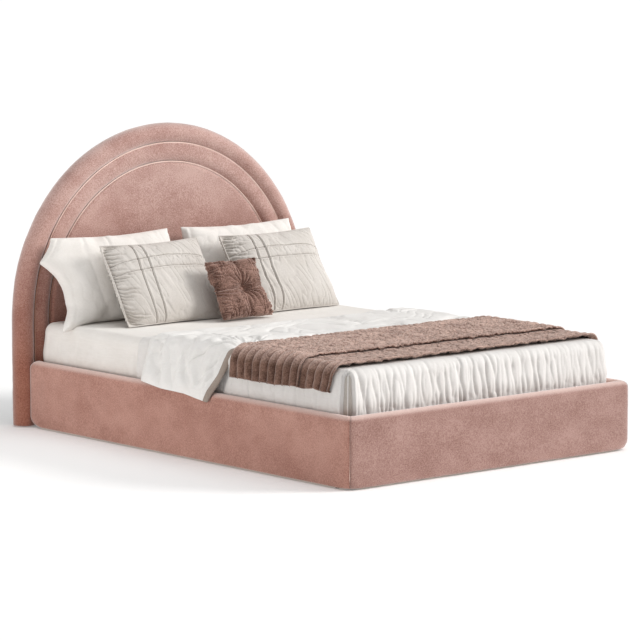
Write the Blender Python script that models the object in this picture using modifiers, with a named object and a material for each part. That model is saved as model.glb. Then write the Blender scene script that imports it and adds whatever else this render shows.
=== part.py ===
"""Upholstered bed with an arched, banded headboard, its slatted base, mattress and bedding.

Metres, +Z up.  The origin is at floor level under the middle of the whole bed: +Y runs to
the headboard, -Y to the foot and +X to the right of somebody who stands at the foot.
"""
import math

import bmesh
import bpy
from mathutils import Matrix, Vector

# ---- driving dimensions -------------------------------------------------------------------
BED_LENGTH = 2.200            # foot rail's face to headboard's back
RAIL_WIDTH = 1.540            # outer face to outer face of the side rails
RAIL_TOP = 0.291
FLOOR_GAP = 0.006             # the upholstery hangs this far above the floor
FIT = 0.0003                  # gap left between pieces that touch

FOOT_Y = -BED_LENGTH / 2
BACK_Y = BED_LENGTH / 2
HALF_RAIL = RAIL_WIDTH / 2

# headboard: three concentric arches about one centre, stilted straight down to the floor
ARCH_CENTRE_Z = 0.4655
OUTER_RADIUS = 0.811
OUTER_SEAM = 0.725            # radius of the seam between outer and middle arch
INNER_SEAM = 0.641            # radius of the seam between middle arch and centre panel
ARCH_STEPS = 36
HEADBOARD_DEPTH = 0.100
FRONT_Y = BACK_Y - HEADBOARD_DEPTH
BOARD_FRONT_Y = FRONT_Y + 0.050
BOARD_THICK = 0.018
BOARD_RADIUS = 0.775
RIM_INNER_RADIUS = 0.700
RIM_BACK_Y = BACK_Y - 0.0045
PANEL_FOOT_Z = 0.270          # the middle arch and the panel stop below the rails' top

# rails: a board inside a padded cover that hooks over its top
PAD_FACE = 0.0127             # foam and fabric over the board's outer face
RAIL_BOARD = 0.025
RAIL_ROLL = 0.023             # radius of the roll along the rails' top
BOARD_TOP = 0.277
LIP_FOOT_Z = 0.236            # the cover is stapled inside the rail down to here
CORNER_FOOT = 0.052           # the boards' corners are cut off at floor level
CORNER_TOP = 0.024            # and at the rails' top, under the rounded padding

# slatted base
SLAT_COUNT = 11
SLAT_PITCH = 0.176
SLAT_WIDTH = 0.085
SLAT_THICK = 0.010
SLAT_FOOT_Z = 0.2303
SLAT_HALF = 0.724
LEDGER_WIDTH = 0.042
LEDGER_FOOT_Z = 0.1880
LEDGER_TOP_Z = 0.2300
BEAM_HALF = 0.020
BEAM_FOOT_Z = 0.1500
BRACKET_PLATE = 0.004
BRACKET_FOOT_Z = 0.050
BRACKET_TOP_Z = 0.178
BRACKET_REACH = 0.080
BOLT_RADIUS = 0.004
BOLT_SIDES = 10
BOLT_HEIGHT = 0.115
RIBBON_WIDTH = 0.025
RIBBON_THICK = 0.001

# mattress and bedding
MATTRESS_HALF = 0.700
MATTRESS_FOOT_Z = SLAT_FOOT_Z + SLAT_THICK + FIT
MATTRESS_TOP_Z = 0.449
MATTRESS_FOOT_Y = -1.013
MATTRESS_HEAD_Y = 0.992
MATTRESS_EDGE = 0.042
SHEET_THICK = 0.0025
COVERLET_THICK = 0.004
COVERLET_HEAD_Y = 0.300
BEDDING_FLOOR_Z = MATTRESS_TOP_Z + SHEET_THICK + COVERLET_THICK + 3 * FIT
BEDDING_SIDE_X = MATTRESS_HALF + SHEET_THICK + COVERLET_THICK + 3 * FIT
DUVET_THICK = 0.022
THROW_LAYER = 0.016
THROW_HEAD_Y = -0.320
THROW_FOLD_Y = -0.770          # the upper layer ends here
THROW_FOOT_Y = -0.960
DUVET_FOOT_Y = -0.300
DUVET_HEAD_Y = 0.240

COLLECTION = "upholstered_bed"
CUTTERS = "bed_cutters"


# ---- scene, materials and objects ---------------------------------------------------------
def clear_scene():
    for old in list(bpy.data.objects):
        bpy.data.objects.remove(old, do_unlink=True)
    for name in (COLLECTION, CUTTERS):
        group = bpy.data.collections.new(name)
        bpy.context.scene.collection.children.link(group)


def finish_material(name, colour, roughness, metallic=0.0):
    made = bpy.data.materials.new(name)
    made.use_nodes = True
    shader = made.node_tree.nodes["Principled BSDF"]
    shader.inputs["Base Color"].default_value = (*colour, 1.0)
    shader.inputs["Roughness"].default_value = roughness
    shader.inputs["Metallic"].default_value = metallic
    return made


def face_outward(bm):
    bmesh.ops.recalc_face_normals(bm, faces=bm.faces)
    if bm.calc_volume(signed=True) < 0:
        bmesh.ops.reverse_faces(bm, faces=bm.faces)


def add_object(name, bm, colour, roughness=0.8, metallic=0.0, smooth_angle=40):
    """Turn a bmesh into a named object of the bed with its own material."""
    face_outward(bm)
    mesh = bpy.data.meshes.new(name)
    bm.to_mesh(mesh)
    bm.free()
    mesh.shade_smooth()
    mesh.set_sharp_from_angle(angle=math.radians(smooth_angle))
    mesh.materials.append(finish_material(name + "_finish", colour, roughness, metallic))
    made = bpy.data.objects.new(name, mesh)
    bpy.data.collections[COLLECTION].objects.link(made)
    return made


def bevel(made, width, segments=2):
    edge = made.modifiers.new("soft_edges", "BEVEL")
    edge.width = width
    edge.segments = segments
    edge.limit_method = "ANGLE"
    edge.angle_limit = math.radians(35)


def cube_between(bm, low, high):
    size = Vector(high) - Vector(low)
    middle = (Vector(high) + Vector(low)) / 2
    place = Matrix.Translation(middle) @ Matrix.Diagonal((*size, 1.0))
    return bmesh.ops.create_cube(bm, size=1.0, matrix=place)["verts"]


def box(name, low, high, look, edge=0.0, segments=2):
    bm = bmesh.new()
    cube_between(bm, low, high)
    made = add_object(name, bm, *look)
    if edge:
        bevel(made, edge, segments)
    return made


def prism(name, outline, axis, start, stop, look):
    """Extrude a flat outline, given in the two other axes, along X, Y or Z."""
    bm = bmesh.new()
    across = [index for index in range(3) if index != axis]
    corners = []
    for first, second in outline:
        point = [0.0, 0.0, 0.0]
        point[across[0]] = first
        point[across[1]] = second
        point[axis] = start
        corners.append(bm.verts.new(point))
    face = bm.faces.new(corners)
    grown = bmesh.ops.extrude_face_region(bm, geom=[face])["geom"]
    reach = [0.0, 0.0, 0.0]
    reach[axis] = stop - start
    moved = [item for item in grown if isinstance(item, bmesh.types.BMVert)]
    bmesh.ops.translate(bm, verts=moved, vec=reach)
    return add_object(name, bm, *look)


def turned(bm, profile, foot, direction, sides):
    """Spin a profile of (radius, height) pairs, first and last on the axis, about a line."""
    way = Vector(direction).normalized()
    turn = Vector((0, 0, 1)).rotation_difference(way).to_matrix().to_4x4()
    place = Matrix.Translation(Vector(foot)) @ turn
    verts = [bm.verts.new(place @ Vector((radius, 0, height))) for radius, height in profile]
    edges = [bm.edges.new(pair) for pair in zip(verts, verts[1:])]
    bmesh.ops.spin(bm, geom=verts + edges, cent=foot, axis=way, angle=2 * math.pi,
                   steps=sides, use_duplicate=False)
    bmesh.ops.remove_doubles(bm, verts=bm.verts, dist=0.00005)


def add_cutter(name, bm):
    face_outward(bm)
    mesh = bpy.data.meshes.new(name)
    bm.to_mesh(mesh)
    bm.free()
    made = bpy.data.objects.new(name, mesh)
    made.hide_render = True
    made.display_type = "WIRE"
    bpy.data.collections[CUTTERS].objects.link(made)
    return made


def cut(made, cutter):
    hole = made.modifiers.new("cut_" + cutter.name, "BOOLEAN")
    hole.operation = "DIFFERENCE"
    hole.solver = "EXACT"
    hole.object = cutter


# ---- looks: colour, roughness, metallic ---------------------------------------------------
VELVET = ((0.50, 0.30, 0.26), 0.85)
BOARD = ((0.55, 0.42, 0.28), 0.70)
PINE = ((0.68, 0.50, 0.31), 0.60)
BIRCH = ((0.76, 0.62, 0.43), 0.50)
STEEL = ((0.16, 0.16, 0.17), 0.40, 0.9)
ZINC = ((0.60, 0.60, 0.62), 0.35, 1.0)
PLASTIC = ((0.03, 0.03, 0.03), 0.50)
LINING = ((0.07, 0.06, 0.06), 0.90)
LINEN = ((0.78, 0.76, 0.73), 0.90)
WHITE_COTTON = ((0.86, 0.85, 0.83), 0.90)
TICKING = ((0.82, 0.80, 0.76), 0.85)
SHAM = ((0.70, 0.66, 0.61), 0.85)
BROWN_VELVET = ((0.26, 0.17, 0.14), 0.85)
TAUPE_QUILT = ((0.36, 0.26, 0.23), 0.85)


# ---- headboard ----------------------------------------------------------------------------
def arch_band(name, section, foot_z, look):
    """Sweep a closed (radius, y) section up a leg, round the arch and down the other leg."""
    bm = bmesh.new()
    ring = [bm.verts.new((radius, y, foot_z)) for radius, y in section]
    edges = [bm.edges.new((ring[i - 1], ring[i])) for i in range(len(ring))]
    bm.faces.new(ring)

    def leg(start_edges, rise):
        grown = bmesh.ops.extrude_edge_only(bm, edges=start_edges)["geom"]
        verts = [item for item in grown if isinstance(item, bmesh.types.BMVert)]
        bmesh.ops.translate(bm, verts=verts, vec=(0, 0, rise))
        return [item for item in grown if isinstance(item, bmesh.types.BMEdge)]

    rise = ARCH_CENTRE_Z - foot_z
    springing = leg(edges, rise)
    spun = bmesh.ops.spin(bm, geom=springing, cent=(0, 0, ARCH_CENTRE_Z), axis=(0, -1, 0),
                          angle=math.pi, steps=ARCH_STEPS, use_duplicate=False)
    far = [item for item in spun["geom_last"] if isinstance(item, bmesh.types.BMEdge)]
    last = leg(far, -rise)
    bmesh.ops.edgeloop_fill(bm, edges=last)
    return add_object(name, bm, *look)


def arch_panel(name, radius, front_y, back_y, foot_z, look, edge=0.0):
    """A flat arch-topped panel: a half disc on a rectangle, extruded back."""
    outline = [(radius, foot_z)]
    for step in range(ARCH_STEPS + 1):
        angle = math.pi * step / ARCH_STEPS
        outline.append((radius * math.cos(angle), ARCH_CENTRE_Z + radius * math.sin(angle)))
    outline.append((-radius, foot_z))
    made = prism(name, outline, 1, front_y, back_y, look)
    if edge:
        bevel(made, edge, 2)
    return made


def outer_arch_section():
    """Full-round outer edge from front to back, soft fall to the seam at the inner side."""
    roll_radius = 0.766
    half_width = OUTER_RADIUS - roll_radius
    half_depth = HEADBOARD_DEPTH / 2
    middle_y = FRONT_Y + half_depth
    section = [(OUTER_SEAM + FIT, BOARD_FRONT_Y - FIT), (OUTER_SEAM + FIT, FRONT_Y + 0.030),
               (OUTER_SEAM + 0.008, FRONT_Y + 0.014), (OUTER_SEAM + 0.021, FRONT_Y + 0.002)]
    steps = 8
    for step in range(steps + 1):
        angle = -math.pi / 2 + math.pi * step / steps
        section.append((roll_radius + half_width * math.cos(angle),
                        middle_y + half_depth * math.sin(angle)))
    section[-1] = (BOARD_RADIUS + FIT, section[-1][1])
    section.append((BOARD_RADIUS + FIT, BOARD_FRONT_Y - FIT))
    return section


def middle_arch_section():
    """Crisp outer edge set back behind the outer arch, soft fall to the inner seam."""
    inner = INNER_SEAM + FIT
    outer = OUTER_SEAM - FIT
    back = BOARD_FRONT_Y - FIT
    return [(inner, back), (inner, FRONT_Y + 0.032), (inner + 0.008, FRONT_Y + 0.018),
            (inner + 0.024, FRONT_Y + 0.007), (inner + 0.050, FRONT_Y + 0.003),
            (outer - 0.007, FRONT_Y + 0.008), (outer, FRONT_Y + 0.016), (outer, back)]


def build_headboard():
    board_back = BOARD_FRONT_Y + BOARD_THICK
    board = arch_panel("headboard_board", BOARD_RADIUS, BOARD_FRONT_Y, board_back,
                       FLOOR_GAP, BOARD)
    rim = [(RIM_INNER_RADIUS, board_back + FIT), (RIM_INNER_RADIUS, RIM_BACK_Y),
           (BOARD_RADIUS, RIM_BACK_Y), (BOARD_RADIUS, board_back + FIT)]
    arch_band("headboard_rim_frame", rim, FLOOR_GAP, PINE)
    batten_half = RIM_INNER_RADIUS - FIT
    box("headboard_batten", (-batten_half, board_back + FIT, 0.240),
        (batten_half, RIM_BACK_Y, 0.300), PINE)
    outer_arch = arch_band("headboard_outer_arch", outer_arch_section(), FLOOR_GAP, VELVET)
    arch_band("headboard_middle_arch", middle_arch_section(), PANEL_FOOT_Z, VELVET)
    arch_panel("headboard_centre_panel", INNER_SEAM - FIT, FRONT_Y + 0.011,
               BOARD_FRONT_Y - FIT, PANEL_FOOT_Z, VELVET, edge=0.007)
    arch_panel("headboard_back_cover", BOARD_RADIUS - FIT, RIM_BACK_Y + FIT, RIM_BACK_Y + 0.0033,
               FLOOR_GAP, LINING)
    return board, outer_arch


# ---- rails --------------------------------------------------------------------------------
def rail_section():
    """Hook-shaped cover as (depth in from the outer face, height)."""
    lip = 2 * RAIL_ROLL
    hook = PAD_FACE + RAIL_BOARD + 2 * FIT
    section = [(PAD_FACE, FLOOR_GAP), (0.004, FLOOR_GAP), (0.0, FLOOR_GAP + 0.016)]
    steps = 8
    for step in range(steps + 1):
        angle = math.pi * step / steps
        section.append((RAIL_ROLL * (1 - math.cos(angle)),
                        RAIL_TOP - RAIL_ROLL * (1 - math.sin(angle))))
    section += [(lip, LIP_FOOT_Z), (hook, LIP_FOOT_Z), (hook, BOARD_TOP + FIT),
                (PAD_FACE, BOARD_TOP + FIT)]
    return section


def side_rail(side, sign):
    """One side rail: board and cover, mitred to the foot rail's cover at 45 degrees."""
    inner = HALF_RAIL - PAD_FACE - FIT
    head_y = FRONT_Y - 2 * FIT
    foot_y = foot_board_inner() + FIT
    foot_cut = CORNER_FOOT - RAIL_BOARD
    outline = [(foot_y, FLOOR_GAP + foot_cut), (foot_y + foot_cut, FLOOR_GAP),
               (head_y - CORNER_FOOT, FLOOR_GAP), (head_y, FLOOR_GAP + CORNER_FOOT),
               (head_y, BOARD_TOP - CORNER_TOP), (head_y - CORNER_TOP, BOARD_TOP),
               (foot_y, BOARD_TOP)]
    board = prism(side + "_rail_board", outline, 0, sign * (inner - RAIL_BOARD), sign * inner,
                  BOARD)
    bm = bmesh.new()
    ring = [bm.verts.new((sign * (HALF_RAIL - depth), head_y, height))
            for depth, height in rail_section()]
    grown = bmesh.ops.extrude_face_region(bm, geom=[bm.faces.new(ring)])["geom"]
    for item in grown:
        if isinstance(item, bmesh.types.BMVert):
            item.co.y = FOOT_Y + (HALF_RAIL - abs(item.co.x)) + FIT
    add_object(side + "_rail_cover", bm, *VELVET)
    return board


def foot_board_inner():
    return FOOT_Y + PAD_FACE + FIT + RAIL_BOARD


def foot_rail():
    outer = FOOT_Y + PAD_FACE + FIT
    half = HALF_RAIL - PAD_FACE - FIT
    outline = []
    for sign in (-1, 1):
        end = [(sign * (half - CORNER_FOOT), FLOOR_GAP), (sign * half, FLOOR_GAP + CORNER_FOOT),
               (sign * half, BOARD_TOP - CORNER_TOP), (sign * (half - CORNER_TOP), BOARD_TOP)]
        outline += end if sign > 0 else end[::-1]
    board = prism("foot_rail_board", outline, 1, outer, outer + RAIL_BOARD, BOARD)
    bm = bmesh.new()
    ring = [bm.verts.new((HALF_RAIL - depth - FIT, FOOT_Y + depth, height))
            for depth, height in rail_section()]
    grown = bmesh.ops.extrude_face_region(bm, geom=[bm.faces.new(ring)])["geom"]
    for item in grown:
        if isinstance(item, bmesh.types.BMVert):
            item.co.x = -item.co.x
    add_object("foot_rail_cover", bm, *VELVET)
    return board


# ---- brackets and bolts -------------------------------------------------------------------
def rail_inner_face():
    return HALF_RAIL - PAD_FACE - FIT - RAIL_BOARD


def bolt_places(sign):
    """(which plate, point on it, direction into the board, grip) of one side's four bolts."""
    face_x = rail_inner_face() - FIT - BRACKET_PLATE
    foot_y = foot_board_inner() + FIT + BRACKET_PLATE
    head_y = BOARD_FRONT_Y - FIT - BRACKET_PLATE
    side_grip = BRACKET_PLATE + FIT + RAIL_BOARD
    board_grip = BRACKET_PLATE + FIT + BOARD_THICK
    end_x = sign * (face_x - 0.045)
    return [("foot_bracket_side_bolt", (sign * face_x, foot_y + 0.045), (sign, 0, 0), side_grip),
            ("foot_bracket_end_bolt", (end_x, foot_y), (0, -1, 0), side_grip),
            ("head_bracket_side_bolt", (sign * face_x, FRONT_Y - 0.060), (sign, 0, 0), side_grip),
            ("head_bracket_end_bolt", (end_x, head_y), (0, 1, 0), board_grip)]


def build_bolts(side, sign, holes):
    """Round-headed bolts, and the clearance holes that they pass through."""
    for name, (x, y), way, grip in bolt_places(sign):
        point = Vector((x, y, BOLT_HEIGHT))
        margin = 0.003
        radius = BOLT_RADIUS + FIT
        depth = grip + 2 * margin
        hole = [(0, 0), (radius, 0), (radius, depth), (0, depth)]
        turned(holes, hole, point - margin * Vector(way), way, BOLT_SIDES)
        head = 0.0045
        shank_end = head + FIT + grip - 0.0005
        bolt = [(0, 0), (0.0075, 0), (0.0075, head), (BOLT_RADIUS, head),
                (BOLT_RADIUS, shank_end), (0, shank_end)]
        bm = bmesh.new()
        turned(bm, bolt, point - (head + FIT) * Vector(way), way, BOLT_SIDES)
        add_object(side + "_" + name, bm, *ZINC)


def build_brackets(boards, outer_arch):
    """Steel angle brackets in the four corners, bolted through the boards.

    The outer arch's padding is cut away where the head brackets reach its board.
    """
    inner = rail_inner_face() - FIT
    foot = foot_board_inner() + FIT
    head = BOARD_FRONT_Y - FIT
    start = FRONT_Y - 0.110
    plate = BRACKET_PLATE
    deep = inner - BRACKET_REACH
    foot_outline = [(inner, foot), (inner, foot + BRACKET_REACH),
                    (inner - plate, foot + BRACKET_REACH), (inner - plate, foot + plate),
                    (deep, foot + plate), (deep, foot)]
    head_outline = [(inner, head), (inner, start), (inner - plate, start),
                    (inner - plate, head - plate), (deep, head - plate), (deep, head)]
    holes = bmesh.new()
    for side, sign in (("left", -1), ("right", 1)):
        build_bolts(side, sign, holes)
        for end, outline in (("foot", foot_outline), ("head", head_outline)):
            shape = [(sign * x, y) for x, y in outline]
            boards.append(prism(side + "_" + end + "_bracket", shape, 2, BRACKET_FOOT_Z,
                                BRACKET_TOP_Z, STEEL))
    cutter = add_cutter("bolt_holes", holes)
    for board in boards:
        cut(board, cutter)
    pockets = bmesh.new()
    for sign in (-1, 1):
        x_near, x_far = sorted((sign * (OUTER_SEAM - 0.010), sign * (inner + FIT)))
        cube_between(pockets, (x_near, FRONT_Y - 0.010, BRACKET_FOOT_Z - FIT),
                     (x_far, BOARD_FRONT_Y + 0.010, BRACKET_TOP_Z + FIT))
    cut(outer_arch, add_cutter("bracket_pockets", pockets))


# ---- slatted base -------------------------------------------------------------------------
def slat_centres():
    middle = (FOOT_Y + 0.0383 + FRONT_Y) / 2
    return [middle + (index - (SLAT_COUNT - 1) / 2) * SLAT_PITCH for index in range(SLAT_COUNT)]


def build_slats():
    centres = slat_centres()
    reach = 0.060
    for index, y in enumerate(centres):
        box(f"slat_{index + 1:02d}", (-SLAT_HALF, y - SLAT_WIDTH / 2, SLAT_FOOT_Z),
            (SLAT_HALF, y + SLAT_WIDTH / 2, SLAT_FOOT_Z + SLAT_THICK), BIRCH, 0.002, 1)
    inner = rail_inner_face() - FIT
    for side, sign in (("left", -1), ("right", 1)):
        x_near, x_far = sorted((sign * inner, sign * (inner - LEDGER_WIDTH)))
        box(side + "_slat_ledger", (x_near, centres[0] - reach, LEDGER_FOOT_Z),
            (x_far, centres[-1] + reach, LEDGER_TOP_Z), PINE, 0.002, 1)
        ribbon = inner - LEDGER_WIDTH - 0.060
        x_near, x_far = sorted((sign * ribbon, sign * (ribbon - RIBBON_WIDTH)))
        top = SLAT_FOOT_Z - FIT
        box(side + "_slat_ribbon", (x_near, centres[0] - reach, top - RIBBON_THICK),
            (x_far, centres[-1] + reach, top), LINING)


def build_centre_beam():
    foot = foot_board_inner() + FIT
    head = BOARD_FRONT_Y - FIT
    plate = 0.003
    shelf_top = BEAM_FOOT_Z - FIT
    hangers = (("beam_hanger_foot", foot, 1), ("beam_hanger_head", head, -1))
    for name, wall, way in hangers:
        outline = [(wall, 0.110), (wall, SLAT_FOOT_Z - 0.006),
                   (wall + way * plate, SLAT_FOOT_Z - 0.006), (wall + way * plate, shelf_top),
                   (wall + way * 0.060, shelf_top), (wall + way * 0.060, shelf_top - plate),
                   (wall + way * plate, shelf_top - plate), (wall + way * plate, 0.110)]
        prism(name, outline, 0, -0.045, 0.045, STEEL)
    box("centre_beam", (-BEAM_HALF, foot + plate + FIT, BEAM_FOOT_Z),
        (BEAM_HALF, head - plate - FIT, SLAT_FOOT_Z - FIT), PINE, 0.002, 1)
    leg_top = BEAM_FOOT_Z - FIT
    for index, y in enumerate((-0.36, 0.30)):
        bm = bmesh.new()
        leg = [(0, leg_top), (0.030, leg_top), (0.030, leg_top - 0.004), (0.018, leg_top - 0.004),
               (0.018, 0.010), (0.026, 0.006), (0.026, 0), (0, 0)]
        turned(bm, leg, (0, y, 0), (0, 0, 1), 16)
        add_object(f"centre_leg_{index + 1}", bm, *STEEL)


def build_glides():
    """Low plastic glides under the rails and the headboard; they make the thin floor gap."""
    rail_x = rail_inner_face() + RAIL_BOARD / 2
    board_y = BOARD_FRONT_Y + BOARD_THICK / 2
    top = FLOOR_GAP - FIT
    for side, sign in (("left", -1), ("right", 1)):
        for name, x, y in (("foot_glide", rail_x, -1.00), ("headboard_glide", 0.70, board_y)):
            bm = bmesh.new()
            turned(bm, [(0, top), (0.0085, top), (0.0085, 0), (0, 0)], (sign * x, y, 0),
                   (0, 0, 1), 12)
            add_object(side + "_" + name, bm, *PLASTIC)


# ---- mattress and bedding -----------------------------------------------------------------
def build_mattress():
    box("mattress", (-MATTRESS_HALF, MATTRESS_FOOT_Y, MATTRESS_FOOT_Z),
        (MATTRESS_HALF, MATTRESS_HEAD_Y, MATTRESS_TOP_Z), TICKING, MATTRESS_EDGE, 3)


def bed_skin(name, grow, thick, foot_z, head_y, open_head, look):
    """A cloth skin over the mattress: a rounded box without its floor, thickened outward."""
    bm = bmesh.new()
    cube_between(bm, (-MATTRESS_HALF - grow, MATTRESS_FOOT_Y - grow, foot_z),
                 (MATTRESS_HALF + grow, head_y, MATTRESS_TOP_Z + grow))
    bm.faces.ensure_lookup_table()
    drop = [face for face in bm.faces
            if face.normal.z < -0.5 or (open_head and face.normal.y > 0.5)]
    rounded = [edge for edge in bm.edges if len(set(edge.link_faces) - set(drop)) == 2]
    bmesh.ops.delete(bm, geom=drop, context="FACES_ONLY")
    bmesh.ops.bevel(bm, geom=rounded, offset=MATTRESS_EDGE + grow, segments=3, profile=0.5,
                    affect="EDGES", clamp_overlap=True)
    made = add_object(name, bm, *look)
    wall = made.modifiers.new("cloth", "SOLIDIFY")
    wall.thickness = thick
    wall.offset = 1.0
    wall.use_even_offset = True
    return made


def over_bed_path(side_x, top_z, radius, hem_z, hem_x):
    """Hem, up the left side, across and down the right: (x, z, normal x, normal z)."""
    left = []
    corner_x = side_x - radius
    corner_z = top_z - radius
    left.append((-hem_x, hem_z))
    left.append((-hem_x, hem_z + 0.55 * (corner_z - hem_z)))
    for step in range(5):
        angle = math.pi / 2 * step / 4
        left.append((-corner_x - radius * math.cos(angle), corner_z + radius * math.sin(angle)))
    points = left + [(-x, z) for x, z in reversed(left)]
    path = []
    for index, (x, z) in enumerate(points):
        before = points[max(index - 1, 0)]
        after = points[min(index + 1, len(points) - 1)]
        run = Vector((after[0] - before[0], after[1] - before[1])).normalized()
        path.append((x, z, -run.y, run.x))
    return path


def draped_band(name, path, section, look):
    """Carry a closed (y, height above the path) section along a path over the bed."""
    bm = bmesh.new()
    rings = []
    for x, z, normal_x, normal_z in path:
        rings.append([bm.verts.new((x + rise * normal_x, y, z + rise * normal_z))
                      for y, rise in section])
    for first, second in zip(rings, rings[1:]):
        for index in range(len(section)):
            bm.faces.new((first[index - 1], first[index], second[index], second[index - 1]))
    bm.faces.new(rings[0])
    bm.faces.new(list(reversed(rings[-1])))
    return add_object(name, bm, *look)


def build_bedding():
    grow = FIT
    bed_skin("fitted_sheet", grow, SHEET_THICK, MATTRESS_FOOT_Z + 0.010, MATTRESS_HEAD_Y + grow,
             False, LINEN)
    grow += SHEET_THICK + FIT
    bed_skin("coverlet", grow, COVERLET_THICK, MATTRESS_FOOT_Z + 0.015, COVERLET_HEAD_Y,
             True, WHITE_COTTON)
    radius = MATTRESS_EDGE
    duvet_path = over_bed_path(BEDDING_SIDE_X, BEDDING_FLOOR_Z, radius, 0.262, HALF_RAIL + 0.004)
    foot, head = DUVET_FOOT_Y, DUVET_HEAD_Y
    thick = DUVET_THICK
    duvet = [(foot, 0.0), (head, 0.0), (head + 0.004, thick / 2), (head - 0.012, thick),
             (foot + 0.008, thick), (foot - 0.004, thick / 2)]
    draped_band("duvet", duvet_path, duvet, WHITE_COTTON)
    throw_path = over_bed_path(BEDDING_SIDE_X, BEDDING_FLOOR_Z, radius, 0.362, BEDDING_SIDE_X)
    foot, fold, head = THROW_FOOT_Y, THROW_FOLD_Y, THROW_HEAD_Y
    layer = THROW_LAYER
    throw = [(foot, 0.0), (head, 0.0), (head + 0.006, layer), (head, 2 * layer),
             (fold, 2 * layer), (fold - 0.002, layer), (foot, layer)]
    draped_band("throw", throw_path, throw, TAUPE_QUILT)


def pillow(name, size, foot, lean, yaw, look):
    """A crowned cushion: two grids that meet at the seam, leaning back from its lower edge."""
    width, height, thick = size
    columns, rows = 4, 3
    bm = bmesh.new()
    front = bmesh.ops.create_grid(bm, x_segments=columns, y_segments=rows, size=0.5)["verts"]
    faces = list(bm.faces)
    back = bmesh.ops.duplicate(bm, geom=front + list(bm.edges) + faces)["geom"]
    bmesh.ops.reverse_faces(bm, faces=[f for f in back if isinstance(f, bmesh.types.BMFace)])
    behind = {item for item in back if isinstance(item, bmesh.types.BMVert)}
    for vert in bm.verts:
        across = 2 * vert.co.x
        along = 2 * vert.co.y
        crown = 0.62 * thick * math.sqrt(max((1 - across ** 4) * (1 - along ** 4), 0))
        waist = 1 - 0.05 * (1 - across ** 2)
        side = 1 - 0.04 * (1 - along ** 2)
        vert.co = Vector((0.5 * width * across * side, 0.5 * height * along * waist,
                          -crown if vert in behind else crown))
    bmesh.ops.remove_doubles(bm, verts=bm.verts, dist=0.0001)
    crease = bm.edges.layers.float.new("crease_edge")
    for edge in bm.edges:
        if all(abs(vert.co.z) < FIT for vert in edge.verts):
            edge[crease] = 1.0
    made = add_object(name, bm, *look, smooth_angle=80)
    soft = made.modifiers.new("soft", "SUBSURF")
    soft.levels = 1
    soft.render_levels = 1
    stand = Matrix.Rotation(math.radians(90 - lean), 4, "X")
    turn = Matrix.Rotation(math.radians(yaw), 4, "Z")
    made.matrix_world = (Matrix.Translation(Vector(foot)) @ turn @ stand
                         @ Matrix.Translation((0, height / 2, 0)))
    return made


def build_pillows():
    floor = MATTRESS_TOP_Z + SHEET_THICK
    sleeping = (0.620, 0.385, 0.140)
    pillow("left_pillow", sleeping, (-0.368, 0.818, floor + 0.030), 20, 0, LINEN)
    pillow("right_pillow", sleeping, (0.330, 0.818, floor + 0.030), 20, 0, LINEN)
    sham = (0.540, 0.385, 0.108)
    pillow("left_cushion", sham, (-0.280, 0.597, floor + 0.022), 31, 1, SHAM)
    pillow("right_cushion", sham, (0.385, 0.600, floor + 0.022), 31, 2, SHAM)
    tufted = (0.300, 0.280, 0.095)
    pillow("tufted_cushion", tufted, (0.020, 0.468, floor + 0.024), 28, 2, BROWN_VELVET)


# ---- the bed ------------------------------------------------------------------------------
def main():
    clear_scene()
    headboard_board, outer_arch = build_headboard()
    boards = [side_rail("left", -1), side_rail("right", 1), foot_rail()]
    build_brackets(boards + [headboard_board], outer_arch)
    build_slats()
    build_centre_beam()
    build_glides()
    build_mattress()
    build_bedding()
    build_pillows()


main()
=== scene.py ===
"""Looks of the upholstered bed: velvet pads and rails, mattress, bedding, pillows and cushions.

Metres, in the frame's axes: +Z up, +Y to the headboard, -Y to the foot, +X to the right of
somebody who stands at the foot.  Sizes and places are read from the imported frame.
"""

import math

import bmesh
import bpy
import numpy as np
from mathutils import Matrix, Vector


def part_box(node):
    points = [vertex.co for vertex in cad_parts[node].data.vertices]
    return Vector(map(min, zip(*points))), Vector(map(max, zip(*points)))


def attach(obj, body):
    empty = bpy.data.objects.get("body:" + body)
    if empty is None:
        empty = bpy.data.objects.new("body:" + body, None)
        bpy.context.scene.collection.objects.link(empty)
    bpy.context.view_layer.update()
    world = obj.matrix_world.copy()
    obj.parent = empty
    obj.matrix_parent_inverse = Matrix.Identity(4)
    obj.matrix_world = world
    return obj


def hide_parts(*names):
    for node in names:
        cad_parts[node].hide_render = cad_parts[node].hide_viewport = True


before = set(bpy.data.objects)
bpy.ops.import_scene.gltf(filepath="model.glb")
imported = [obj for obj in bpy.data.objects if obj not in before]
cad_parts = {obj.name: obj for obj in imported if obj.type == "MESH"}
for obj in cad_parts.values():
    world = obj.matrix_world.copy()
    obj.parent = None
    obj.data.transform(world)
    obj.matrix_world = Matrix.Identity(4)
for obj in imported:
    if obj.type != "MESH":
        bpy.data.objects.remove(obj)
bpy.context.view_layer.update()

BED, MATTRESS = "bed_frame", "mattress"


# ---- noise and small numeric helpers ---------------------------------------------------------
CELLS = 24
LATTICE = np.random.default_rng(11).random((CELLS, CELLS, CELLS)) * 2 - 1


def noise(points, size, offset=0.0):
    """Smooth noise from -1 to 1, with features about size metres across."""
    scaled = np.asarray(points, float) / size + offset
    low = np.floor(scaled).astype(int)
    part = scaled - low
    part = part ** 3 * (part * (part * 6 - 15) + 10)
    total = np.zeros(scaled.shape[:-1])
    for corner in np.ndindex(2, 2, 2):
        weight = np.ones(total.shape)
        for axis in range(3):
            share = part[..., axis]
            weight *= share if corner[axis] else 1 - share
        cell = [(low[..., axis] + corner[axis]) % CELLS for axis in range(3)]
        total += weight * LATTICE[cell[0], cell[1], cell[2]]
    return total


def creases(points, size, offset):
    """Rounded puffs between sharp folds: 1 on the puffs, 0 in the folds."""
    return np.clip(np.abs(noise(points, size, offset)) * 2.6, 0, 1) ** 0.6


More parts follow.
